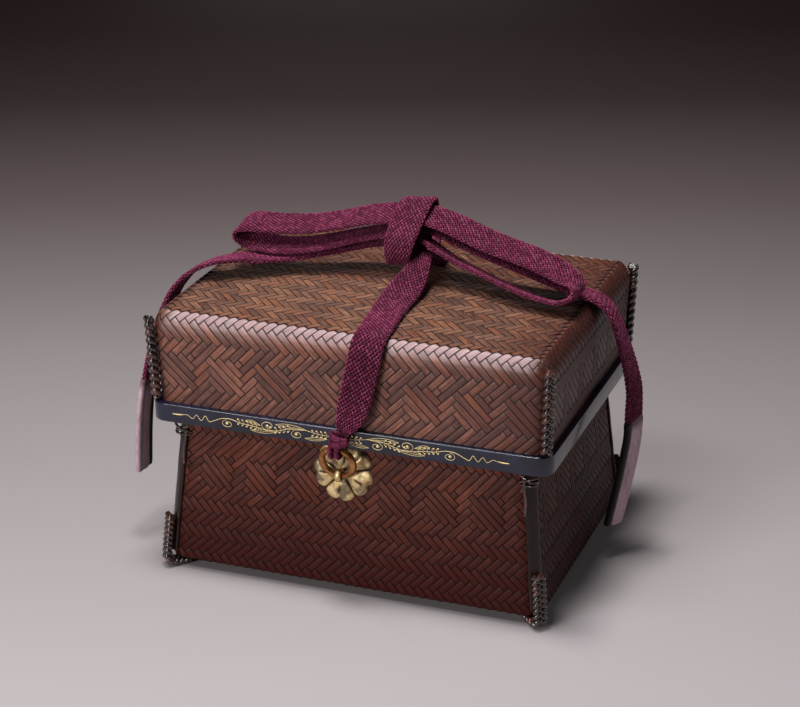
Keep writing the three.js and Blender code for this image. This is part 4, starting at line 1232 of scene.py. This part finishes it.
class TEABOX_OT_lid(bpy.types.Operator):
    """Make the lid: woven walls, woven top and the lining"""
    bl_idname = "teabox.lid"
    bl_label = "Lid"

    def execute(self, context):
        template = strip_template()
        bend = 0.013
        fold = [(-lid_fold, lid_top_z)] + [
            (bend * math.cos(a) - 0.0129, lid_top_z + bend * (math.sin(a) - 0.766))
            for a in np.radians(np.linspace(50, 2, 13))]
        profile = profile_object("lid_profile", fold + [(0, 0.0789)])
        around = 4 * (lid_half_x + lid_half_y) - 8 * lid_corner + math.tau * lid_corner
        across = around / wall_columns
        row_height, pattern_x = 0.002475, -0.05375
        stretches = floats(lid_rule, (0, wall_columns - 1), (-9, 11), True, 11)
        mesh = lattice_mesh("lid_weave", stretches, across, row_height, pattern_x, 0.024)
        values = weave_values(template, across, row_height, "weave_lid")
        values.update({"Profile": profile, "Half X": lid_half_x, "Half Y": lid_half_y,
            "Corner Radius": lid_corner, "Taper": lid_taper, "Taper Level": lid_top_z,
            "Start": rim_start(lid_half_x, lid_half_y, lid_corner)})
        walls = grow("lid_weave", mesh, weave_tree(False), values, smooth=35)
        settle(walls, "lid", "weave_lid")

        half_y = lid_half_y - lid_fold
        first_row = lid_fold + 0.0016 - lid_half_y
        unit = 0.00248
        rows_back = round(2 * half_y / unit)
        inside = floats(top_rule, (-15, 58), (-rows_back + 1, 0), False, 12)
        spots = lattice_mesh("lid_top_weave", inside, unit, unit, pattern_x, -first_row)
        values = weave_values(template, unit, unit, "weave_top")
        values.update({"Level": lid_top_z, "Side": 1.0})
        top = grow("lid_top_weave", spots, weave_tree(True), values, smooth=35)
        settle(top, "lid", "weave_lid")

        rings = [wall_ring("lid", z, d - 0.0005) for d, z in
            [(d, z - 0.0005) for d, z in fold[1::3]] + [(0, lid_rim_z)]]
        rings += [wall_ring("lid", lid_rim_z, -lid_wall)]
        rings += [wall_ring("lid", lid_top_z - lid_wall - 0.0037 * (1 - math.cos(a)),
            -lid_wall - 0.0037 * (1 - math.sin(a))) for a in np.linspace(math.pi / 2, 0, 4)]
        points, faces, maps = skin(rings)
        lining_piece = solid("lid_lining", points, faces, "lining", smooth=40, maps=maps)
        settle(lining_piece, "lid", "weave_lid", "lid_shell")
        drop(template, profile)
        return {"FINISHED"}


def top_rule(h, k):
    return 1 if (k - 2) // 3 % 2 else -1


class TEABOX_OT_basket(bpy.types.Operator):
    """Make the lower basket: woven walls and underside, and the lining"""
    bl_idname = "teabox.basket"
    bl_label = "Lower Basket"

    def execute(self, context):
        template = strip_template(plain=True)
        fold = [(-basket_fold * (1 - math.cos(a)), basket_floor_z + basket_fold * (1 - math.sin(a)))
            for a in np.linspace(0, math.pi / 2, 7)]
        profile = profile_object("basket_profile", [(0, 0.1195)] + fold)
        around = 4 * (basket_half_x + basket_half_y) - 8 * basket_corner + math.tau * basket_corner
        across = around / wall_columns
        stretches = floats(basket_rule, (0, wall_columns - 1), (-25, 24), True, 21)
        row_height = 0.0023
        mesh = lattice_mesh("basket_weave", stretches, across, row_height, -0.0175, 0.0595)
        values = weave_values(template, across, row_height, "weave_base")
        values.update({"Profile": profile, "Half X": basket_half_x, "Half Y": basket_half_y,
            "Corner Radius": basket_corner, "Taper": basket_taper, "Taper Level": basket_floor_z,
            "Start": rim_start(basket_half_x, basket_half_y, basket_corner)})
        walls = grow("basket_weave", mesh, weave_tree(False), values, smooth=35)
        settle(walls, "base", "weave_base")

        unit, margin = 0.0024, 0.001
        count_x = int((basket_half_x - basket_fold - margin) / unit)
        count_y = int((basket_half_y - basket_fold - margin) / unit)
        spots = lattice_mesh("basket_floor_weave",
            floats(top_rule, (-count_x, count_x), (-count_y, count_y), False, 22), unit, unit, 0, 0)
        values = weave_values(template, unit, unit, "weave_base")
        values.update({"Level": basket_floor_z, "Side": -1.0})
        under = grow("basket_floor_weave", spots, weave_tree(True), values, smooth=35)
        settle(under, "base", "weave_base")

        rings = [wall_ring("basket", basket_floor_z + 0.0005, -basket_fold - 0.0005),
            wall_ring("basket", basket_floor_z + basket_fold, -0.0005), wall_ring("basket", basket_top_z, -0.0005),
            wall_ring("basket", basket_top_z, -basket_wall),
            wall_ring("basket", basket_floor_z + basket_wall + basket_fold, -basket_wall),
            wall_ring("basket", basket_floor_z + basket_wall, -basket_wall - basket_fold)]
        points, faces, maps = skin(rings)
        lining_piece = solid("basket_lining", points, faces, "lining", smooth=40, maps=maps)
        settle(lining_piece, "base", "weave_base", "base_basket")
        drop(template, profile)
        return {"FINISHED"}


def hoop(name, kind, low, high, near, far, finish, edge=0.0005):
    """A hoop round a wall with rounded edges, between two distances from it."""
    outline = [(near, low + edge), (near + edge * 0.3, low + edge * 0.3), (near + edge, low), (far - edge, low),
        (far - edge * 0.3, low + edge * 0.3), (far, low + edge), (far, high - edge),
        (far - edge * 0.3, high - edge * 0.3), (far - edge, high), (near + edge, high),
        (near + edge * 0.3, high - edge * 0.3), (near, high - edge)]
    points, faces, maps = skin([wall_ring(kind, z, d, 12) for d, z in outline], loop=True)
    return solid(name, points, faces, finish, smooth=50, maps=maps)


class TEABOX_OT_hoops(bpy.types.Operator):
    """Make the hoops round the basket's mouth and inside the lid's rim"""
    bl_idname = "teabox.hoops"
    bl_label = "Mouth Hoops"

    def execute(self, context):
        low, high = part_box("mouth_hoop_outer")[0].z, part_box("mouth_hoop_outer")[1].z
        settle(hoop("mouth_band_outer", "basket", low, high, 0.0001, 0.0019, "lacquer"),
            "base", "lacquer", "mouth_hoop_outer")
        settle(hoop("mouth_band_inner", "basket", low, high, -0.0041, -0.0023, "lacquer"),
            "base", "lacquer", "mouth_hoop_inner")
        low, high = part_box("lid_inner_hoop")[0].z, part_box("lid_inner_hoop")[1].z
        settle(hoop("lid_band_inner", "lid", low, high, -0.0044, -0.0024, "lacquer"),
            "lid", "lacquer", "lid_inner_hoop")
        return {"FINISHED"}


# The gold scroll, in metres along the band's front and up from its middle


def curl(x, z, radius, start, way):
    """A spiral of one and a third turns that ends in its middle."""
    line = []
    for i in range(31):
        part = i / 30
        angle = start + way * part * 1.36 * math.tau
        reach = radius * (1 - 0.72 * part ** 1.3)
        line.append((x + 1.15 * reach * math.cos(angle), z + 0.9 * reach * math.sin(angle)))
    return line


def arc_line(spots, steps=7):
    rows = smooth_path([(x * 0.001, z * 0.001, 0) for x, z in spots], steps)
    return [(row[0], row[1]) for row in rows]


def scroll_strokes():
    """Strokes and beads of one half of the scroll, from the middle outwards, in the +X sense."""
    strokes = [
        (arc_line([(2.6, 0.3), (8, 0.5), (14, 1.5), (20, 1.2), (26, -0.8), (31, -1.4), (36, -0.4),
            (42, 0.3), (47, 1.6), (51, 1.2), (54.5, -0.6), (56.6, -1.3), (58.2, 1.2), (60.2, -1.4),
            (62.2, 1.1), (64, -1.1), (66.4, 0.5), (68.6, 0.1), (70, 0.1)], 6), 0.00034),
        (arc_line([(68.4, 0.2), (70.6, -0.1), (73.2, 0)]), 0.0007)]
    for x, z, radius, start, way in (
            (17.4, -1.3, 0.0022, 1.2, -1), (30.2, 1.0, 0.0026, -1.9, 1), (48.2, -1.0, 0.0022, 1.5, -1)):
        strokes.append((curl(x * 0.001, z * 0.001, radius, start, way), 0.0003))
    for x, z, end_x, end_z, bow in ((13, 1.6, 27, 2.2, 1.6), (25.5, -1.3, 38, -2.4, -1.4),
            (33.5, 0.6, 40, 2.2, 1.2), (4, -1.4, 14, -2.6, -1.2)):
        for share in (-0.5, 0.1, 0.7):
            strokes.append((arc_line([(x, z), (x * 0.66 + end_x * 0.34, z * 0.6 + end_z * 0.4 + bow * share),
                (x * 0.3 + end_x * 0.7, z * 0.25 + end_z * 0.75 + bow * share), (end_x, end_z)]), 0.00022))
    beads = [(0.0176, -0.0012, 0.0006), (0.0304, 0.001, 0.0006), (0.0292, 0.0004, 0.0005),
        (0.0484, -0.0009, 0.0006)]
    for x, z, slope, count in ((4.2, 0.4, 0.02, 4), (20.6, 0.9, -0.3, 4), (35.2, -0.2, 0.14, 5)):
        for i in range(count):
            for side in (-1, 1):
                foot = (x + i * 1.9, z + i * 1.9 * slope)
                head = (foot[0] + 0.7, foot[1] + side * (1.5 - 0.06 * i))
                strokes.append((arc_line([foot, (foot[0] + 0.1, foot[1] + side * 0.9), head], 4), 0.00024))
                beads.append((head[0] * 0.001, head[1] * 0.001, 0.00042))
    return strokes, beads


class TEABOX_OT_band(bpy.types.Operator):
    """Make the lacquered band of the lid and its gold scroll"""
    bl_idname = "teabox.band"
    bl_label = "Band and Scroll"

    def execute(self, context):
        edge = 0.0006
        outline = []
        for a in np.linspace(0, math.pi / 2, 6):
            outline.append((edge * (1 - math.sin(a)), lid_rim_z + edge * (1 - math.cos(a))))
        rings = [[(x, y, lid_rim_z) for x, y, _ in wall_ring("lid", lid_rim_z, 0.0001, 14)]]
        rings += [rounded_ring(band_half_x - inset, band_half_y - inset, band_corner - inset, z, 14)
            for inset, z in outline]
        rings += [rounded_ring(band_half_x - inset, band_half_y - inset, band_corner - inset,
            band_top_z + lid_rim_z - z, 14) for inset, z in reversed(outline)]
        rings += [[(x, y, band_top_z) for x, y, _ in wall_ring("lid", band_top_z, 0.0001, 14)]]
        points, faces, maps = skin(rings, loop=True)
        band = solid("lid_rim_band", points, faces, "lacquer", smooth=50, maps=maps)
        settle(band, "lid", "lacquer", "lid_band")

        strokes, beads = scroll_strokes()
        level, middle, stretch = 0.08425, fitting_x, 1.15
        margin, petals, flower_radius, petal_radius = 0.0007, 9, 0.0023, 0.00088
        points, faces, seats, radii = [], [], [], []

        def ribbon(line, width, turn, side):
            count = len(line)
            base = len(points)
            for i, (x, z) in enumerate(line):
                before, after = line[max(i - 1, 0)], line[min(i + 1, count - 1)]
                way = Vector((after[0] - before[0], after[1] - before[1])).normalized()
                taper = 0.3 + 0.7 * math.sin(math.pi * min(1, 0.06 + 0.94 * (i + 0.5) / count)) ** 0.6
                for share, raised in ((-0.5, -0.00006), (-0.3, 0.00007), (0.3, 0.00007), (0.5, -0.00006)):
                    offset = share * width * taper
                    px = middle + side * (x * stretch - way.y * offset)
                    pz = min(max(level + z + way.x * offset, lid_rim_z + margin), band_top_z - margin)
                    points.append((turn * px, turn * -(band_half_y + raised), pz))
            for i in range(count - 1):
                for j in range(4):
                    faces.append((base + i * 4 + j, base + i * 4 + (j + 1) % 4,
                        base + (i + 1) * 4 + (j + 1) % 4, base + (i + 1) * 4 + j))
            faces.append(tuple(base + j for j in range(3, -1, -1)))
            faces.append(tuple(base + (count - 1) * 4 + j for j in range(4)))

        for turn in (1, -1):
            for side in (1, -1):
                for line, width in strokes:
                    ribbon(line, width, turn, side)
                for x, z, size in beads:
                    seats.append((turn * (middle + side * x * stretch), turn * -band_half_y, level + z))
                    radii.append(size)
            for petal in range(petals):
                angle = petal * math.tau / petals
                seats.append((turn * (middle + flower_radius * math.cos(angle)), turn * -band_half_y,
                    level + flower_radius * math.sin(angle)))
                radii.append(petal_radius)
            seats.append((turn * middle, turn * -band_half_y, level))
            radii.append(0.0009)
        mesh = new_mesh("gold_scroll", points, (), faces)
        outward_each(mesh)
        round_off(mesh, 50)
        mesh.materials.append(finish_material("gold"))
        lines = new_object("gold_scroll", mesh)
        dots = grow("gold_scroll_beads", new_mesh("gold_scroll_beads", seats, numbers={"size": radii}),
            bead_tree(), {"Finish": finish_material("gold")}, smooth=60)
        settle(lines, "lid", "lacquer")
        settle(dots, "lid", "lacquer")
        return {"FINISHED"}


def outward_each(mesh):
    """Turns the faces of every separate closed part outwards."""
    work = bmesh.new()
    work.from_mesh(mesh)
    bmesh.ops.recalc_face_normals(work, faces=work.faces)
    work.to_mesh(mesh)
    work.free()


class TEABOX_OT_laces(bpy.types.Operator):
    """Make the laced corners of the lid, the laced feet and the bindings near the rim"""
    bl_idname = "teabox.laces"
    bl_label = "Corner Lacing"

    def execute(self, context):
        plait, tube = plait_tree(), tube_tree()
        s = sizes()
        for tag, corner in corners.items():
            sx, sy = corner
            across = (-sy * math.sqrt(0.5), sx * math.sqrt(0.5), 0)
            line = [corner_spot(corner, "lid", 0.00002, z) for z in np.linspace(0.0906, 0.1316, 30)]
            mesh = new_mesh("lid_plait", line, chain(30), numbers={"across": [across] * 30})
            lace = grow("lid_corner_plait_" + tag, mesh, plait, {"Period": s.lace_period, "Half Width": 0.0017,
                "Half Depth": 0.0011, "Strand Radius": s.lace_strand, "Finish": finish_material("lace")}, 70)
            settle(lace, "lid", "lace", "lid_lace_" + tag)

            line = [corner_spot(corner, "basket", -0.0004, z) for z in np.linspace(0.0272, 0.0085, 14)]
            bend = corner_spot(corner, "basket", -0.0005, 0.0048)
            line += [(bend[0] - sx * 0.0002, bend[1] - sy * 0.0002, 0.0052)]
            line += [(bend[0] - sx * 0.0012, bend[1] - sy * 0.0012, 0.0032)]
            line += [(bend[0] - sx * d, bend[1] - sy * d, 0.00235) for d in np.linspace(0.003, 0.0088, 6)]
            mesh = new_mesh("foot_plait", line, chain(len(line)), numbers={"across": [across] * len(line)})
            foot = grow("foot_plait_" + tag, mesh, plait, {"Period": 0.0084, "Half Width": 0.0025,
                "Half Depth": 0.00085, "Strand Radius": 0.0013, "Finish": finish_material("lace")}, smooth=70)
            settle(foot, "base", "lace", "foot_lace_" + tag)

            lines = []
            seats = ((-0.0066, -0.0006), (-0.005, 0.0003), (-0.0024, 0.0011), (-0.0006, 0.0013))
            for level, slant in ((0.0722, 0.0028), (0.0744, -0.003), (0.0763, 0.0006), (0.0708, -0.0008)):
                over = 0.0007 if slant < -0.001 else 0
                route = []
                for along, away in seats:
                    x, y, z = corner_spot(corner, "basket", 0, level)
                    z = min(level + slant * along / -0.0066, 0.0782)
                    route.append((x + sx * along, y + sy * (away + over), z))
                for along, away in reversed(seats):
                    x, y, z = corner_spot(corner, "basket", 0, level)
                    z = level - slant * along / -0.0066
                    route.append((x + sx * (away + over), y + sy * along, z))
                lines.append([tuple(r) for r in smooth_path(route, 4)])
            thread = []
            for along, z in ((-0.0052, 0.0752), (-0.0047, 0.0725), (-0.0049, 0.068), (-0.0045, 0.063),
                    (-0.0049, 0.058), (-0.0052, 0.0555)):
                x, y, _ = corner_spot(corner, "basket", -0.0006, z)
                thread.append((x + sx * along, y, z))
            lines.append([tuple(r) for r in smooth_path(thread, 4)])
            bind = strands("corner_binding_" + tag, lines, tube, 0.00068, "lace")
            settle(bind, "base", "lace", "corner_bind_" + tag)
        return {"FINISHED"}


class TEABOX_OT_strips(bpy.types.Operator):
    """Make the split bamboo strips over the basket's corners"""
    bl_idname = "teabox.strips"
    bl_label = "Corner Strips"

    def execute(self, context):
        section = ((-1, -0.9), (1, -0.9), (1.02, -0.2), (0.9, 0.35), (0.62, 0.72), (0.3, 0.93), (0.05, 1),
            (-0.3, 0.95), (-0.62, 0.74), (-0.9, 0.35), (-1.02, -0.2))
        half_width, half_depth = 0.0034, 0.0008
        for tag, corner in corners.items():
            sx, sy = corner
            across = np.array((-sy, sx, 0)) * math.sqrt(0.5)
            outwards = np.array((sx, sy, 0)) * math.sqrt(0.5)
            rings = []
            for i, z in enumerate(np.linspace(0.009, 0.0789, 30)):
                x, y, _ = corner_spot(corner, "basket", 0.0025 - 0.0009 * math.sqrt(0.5), z)
                sway = 0.00012 * math.sin(i * 0.9)
                ring = []
                for a, b in section:
                    ring.append(tuple(np.array((x, y, z)) + across * (a * half_width + sway)
                        + outwards * b * half_depth))
                rings.append(ring)
            points, faces, maps = skin(rings)
            strip = solid("corner_slip_" + tag, points, faces, "strip", smooth=45, maps=maps)
            settle(strip, "base", "strip", "corner_strip_" + tag)
        return {"FINISHED"}


def on_front_wall(x, up, raised):
    """A point by its place on the basket's leaning front wall, from the middle of the fitting."""
    slope = math.hypot(1, basket_taper)
    wall_y = -(basket_half_y + basket_taper * (fitting_z - basket_floor_z))
    return (fitting_x + x, wall_y - basket_taper / slope * up - raised / slope,
        fitting_z + up / slope + raised * basket_taper / slope)


def lathe(profile, centre, steps=40):
    """A closed profile of (radius, x) turned about a line along X."""
    rings = [[(centre[0] + x, centre[1] + r * math.cos(a), centre[2] + r * math.sin(a)) for r, x in profile]
        for a in np.linspace(0, math.tau, steps, endpoint=False)]
    return skin(rings, loop=True)[:2]


class TEABOX_OT_fittings(bpy.types.Operator):
    """Make the flower plates, staples and rings on the front and back"""
    bl_idname = "teabox.fittings"
    bl_label = "Brass Fittings"

    def execute(self, context):
        s = sizes()
        around, out_steps, hole = 240, 26, 0.0021
        rings, cuts = [], []
        for j in range(out_steps + 1):
            part = j / out_steps
            ring = []
            for i in range(around):
                angle = i * math.tau / around
                petal = ((angle + math.radians(97)) / (math.tau / 5) + 0.5) % 1 * 2 - 1
                edge = 0.72 + 0.28 * max(0, 1 - abs(petal) ** 4.5) ** 0.5 - 0.07 * math.exp(-(petal / 0.15) ** 2)
                edge *= 1 + 0.012 * math.sin(angle * 3 + 1)
                reach = hole + (s.plate_radius * edge - hole) * part
                border = math.exp(-((1 - abs(petal)) * part / 0.04) ** 2) * min(1, part * 3)
                tear = math.exp(-((petal + 0.05) * (0.5 + part) / 0.1) ** 2
                    - ((part - 0.6) / 0.2) ** 4)
                cut = min(1, border + tear)
                bulge = 0.0007 * math.cos(petal * math.pi / 2) * math.sin(math.pi * min(1, part * 0.9))
                rolled = 0.00055 * max(0, (part - 0.88) / 0.12) ** 2
                height = 0.00165 - 0.0006 * part + bulge - rolled - 0.00034 * cut
                ring.append(on_front_wall(reach * math.cos(angle), reach * math.sin(angle), height))
                cuts.append(cut)
            rings.append(ring)
        rings.append([(x, y + 0.0011, z) for x, y, z in rings[-1]])
        rings.append([on_front_wall(hole * math.cos(i * math.tau / around),
            hole * math.sin(i * math.tau / around), 0.0003) for i in range(around)])
        cuts += [0.3] * around * 2
        points, faces, _ = skin(rings, loop=True)
        tube = tube_tree()
        for tag in ("front", "back"):
            turned = points if tag == "front" else half_turned(points)
            plate = solid("flower_plate_gilt_" + tag, turned, faces, "plate_brass", smooth=50,
                numbers={"cut": cuts})
            settle(plate, "base", "plate_brass", "flower_plate_" + tag)

            sign = 1 if tag == "front" else -1
            eye = (sign * fitting_x, sign * eye_y, fitting_z)
            outline = [(0.0021, -0.0010), (0.00225, -0.0014), (0.0030, -0.0014), (0.0033, -0.0010), (0.0034, 0),
                (0.0033, 0.0010), (0.0030, 0.0014), (0.00225, 0.0014), (0.0021, 0.0010), (0.00205, 0)]
            spots, loops = lathe(outline, eye)
            eye_piece = solid("staple_eye_" + tag, spots, loops, "plate_brass", smooth=50,
                numbers={"cut": np.zeros(len(spots))})
            wall_y = abs(on_front_wall(0, 0, 0)[1])
            inner = wall_y - 0.0031
            shank = strands("staple_shank", [[(eye[0], sign * -(wall_y + 0.0028), eye[2]),
                (eye[0], sign * -(wall_y + 0.001), eye[2]), (eye[0], sign * -inner, eye[2])]],
                tube, 0.0013, "plate_brass", 14)
            legs = strands("staple_legs", [[(eye[0], sign * -inner, eye[2] - 0.006),
                (eye[0], sign * -(inner + 0.0002), eye[2] - 0.003), (eye[0], sign * -inner, eye[2]),
                (eye[0], sign * -(inner + 0.0002), eye[2] + 0.003), (eye[0], sign * -inner, eye[2] + 0.006)]],
                tube, 0.0009, "plate_brass", 10)
            staple = join_pieces("staple_brass_" + tag, [eye_piece, shank, legs])
            settle(staple, "base", "plate_brass", "staple_" + tag)

            tilt = math.radians(15)
            up = np.array((0, -math.sin(tilt), math.cos(tilt)))
            face = np.array((0, -math.cos(tilt), -math.sin(tilt)))
            middle = np.array((fitting_x, eye_y, fitting_z)) + up * s.ring_radius
            loops = []
            for a in np.linspace(0, math.tau, 72, endpoint=False):
                spoke = math.cos(a) * np.array((1, 0, 0)) + math.sin(a) * up
                wear = 1 - 0.07 * math.exp(-((a - 3 * math.pi / 2) / 0.3) ** 2)
                loops.append([tuple(middle + spoke * (s.ring_radius + s.ring_wire * wear * math.cos(b))
                    + face * s.ring_wire * wear * math.sin(b))
                    for b in np.linspace(0, math.tau, 18, endpoint=False)])
            spots, sides, _ = skin(loops, loop=True)
            ring = solid("brass_ring_" + tag, spots if tag == "front" else half_turned(spots), sides,
                "ring_brass", smooth=60)
            settle(ring, tag + "_ring", "ring_brass", "ring_" + tag)
        return {"FINISHED"}


class TEABOX_OT_stage(bpy.types.Operator):
    """Set up the camera, the lamps, the paper floor and the view settings"""
    bl_idname = "teabox.stage"
    bl_label = "Stage"

    def execute(self, context):
        scene = context.scene
        data = bpy.data.cameras.new("view_of_photo")
        data.sensor_width, data.lens = 36, 100.53
        data.clip_start, data.clip_end = 0.05, 20
        camera = bpy.data.objects.new("view_of_photo", data)
        scene.collection.objects.link(camera)
        yaw, pitch, roll = math.radians(20.49), math.radians(22.53), math.radians(0.47)
        ahead = Vector((-math.sin(yaw) * math.cos(pitch), math.cos(yaw) * math.cos(pitch), -math.sin(pitch)))
        level = Vector((math.cos(yaw), math.sin(yaw), 0))
        under = ahead.cross(level)
        right = math.cos(roll) * level + math.sin(roll) * under
        down = -math.sin(roll) * level + math.cos(roll) * under
        turn = Matrix((right, -down, -ahead)).transposed().to_4x4()
        camera.matrix_world = Matrix.Translation((0.3546, -0.9465, 0.5179)) @ turn
        scene.camera = camera

        half = 6
        corner_points = [(-half, -half, 0), (half, -half, 0), (half, half, 0), (-half, half, 0)]
        mesh = new_mesh("paper_floor", corner_points, (), [(0, 1, 2, 3)])
        mesh.materials.append(finish_material("floor"))
        new_object("paper_floor", mesh)

        for name, place, aim_at, size, power in (
                ("lamp_over", (-0.04, -0.08, 1.15), (0, 0, 0.1), (0.24, 0.2), 12),
                ("lamp_front", (-0.5, -1.2, 0.4), (0, 0, 0.11), (0.45, 0.45), 9.5),
                ("lamp_high", (-0.18, -0.52, 1.0), (0, -0.05, 0.12), (0.5, 0.2), 4.5),
                ("lamp_back", (-0.5, 1.25, 0.13), (0, 0, 0.1), (0.4, 0.2), 0.4),
                ("lamp_side", (0.95, 0.3, 0.6), (0.05, 0, 0.06), (0.5, 0.5), 1.2)):
            lamp = bpy.data.lights.new(name, "AREA")
            lamp.shape, lamp.energy = "RECTANGLE", power
            lamp.size, lamp.size_y = size
            made = bpy.data.objects.new(name, lamp)
            scene.collection.objects.link(made)
            made.location = place
            made.rotation_euler = (Vector(aim_at) - Vector(place)).to_track_quat("-Z", "Y").to_euler()

        world = bpy.data.worlds.new("studio")
        world.use_nodes = True
        scene.world = world
        world.node_tree.nodes["Background"].inputs["Color"].default_value = (0.86, 0.84, 0.86, 1)
        world.node_tree.nodes["Background"].inputs["Strength"].default_value = 0.04
        scene.view_settings.view_transform = "Standard"
        return {"FINISHED"}


class TEABOX_PT_panel(bpy.types.Panel):
    """Sizes, colours and the steps that make the tea utensil box"""
    bl_label = "Tea Utensil Box"
    bl_idname = "TEABOX_PT_panel"
    bl_space_type = "VIEW_3D"
    bl_region_type = "UI"
    bl_category = "Tea Box"

    def draw(self, context):
        for group in (context.scene.tea_box_sizes, context.scene.tea_box_colours):
            column = self.layout.column()
            for key in group.__annotations__:
                column.prop(group, key)
        for step in steps:
            self.layout.operator(step.bl_idname)


steps = (TEABOX_OT_stage, TEABOX_OT_cords, TEABOX_OT_knot, TEABOX_OT_hitches, TEABOX_OT_lid, TEABOX_OT_basket,
    TEABOX_OT_hoops, TEABOX_OT_band, TEABOX_OT_laces, TEABOX_OT_strips, TEABOX_OT_fittings)
classes = (TeaBoxSizes, TeaBoxColours, *steps, TEABOX_PT_panel)


def register():
    for item in classes:
        bpy.utils.register_class(item)
    bpy.types.Scene.tea_box_sizes = bpy.props.PointerProperty(type=TeaBoxSizes)
    bpy.types.Scene.tea_box_colours = bpy.props.PointerProperty(type=TeaBoxColours)


def unregister():
    del bpy.types.Scene.tea_box_colours
    del bpy.types.Scene.tea_box_sizes
    for item in reversed(classes):
        bpy.utils.unregister_class(item)


def main():
    register()
    for step in steps:
        group, name = step.bl_idname.split(".")
        if getattr(getattr(bpy.ops, group), name)() != {"FINISHED"}:
            raise RuntimeError(step.bl_label + " did not finish")


if __name__ == "__main__":
    main()
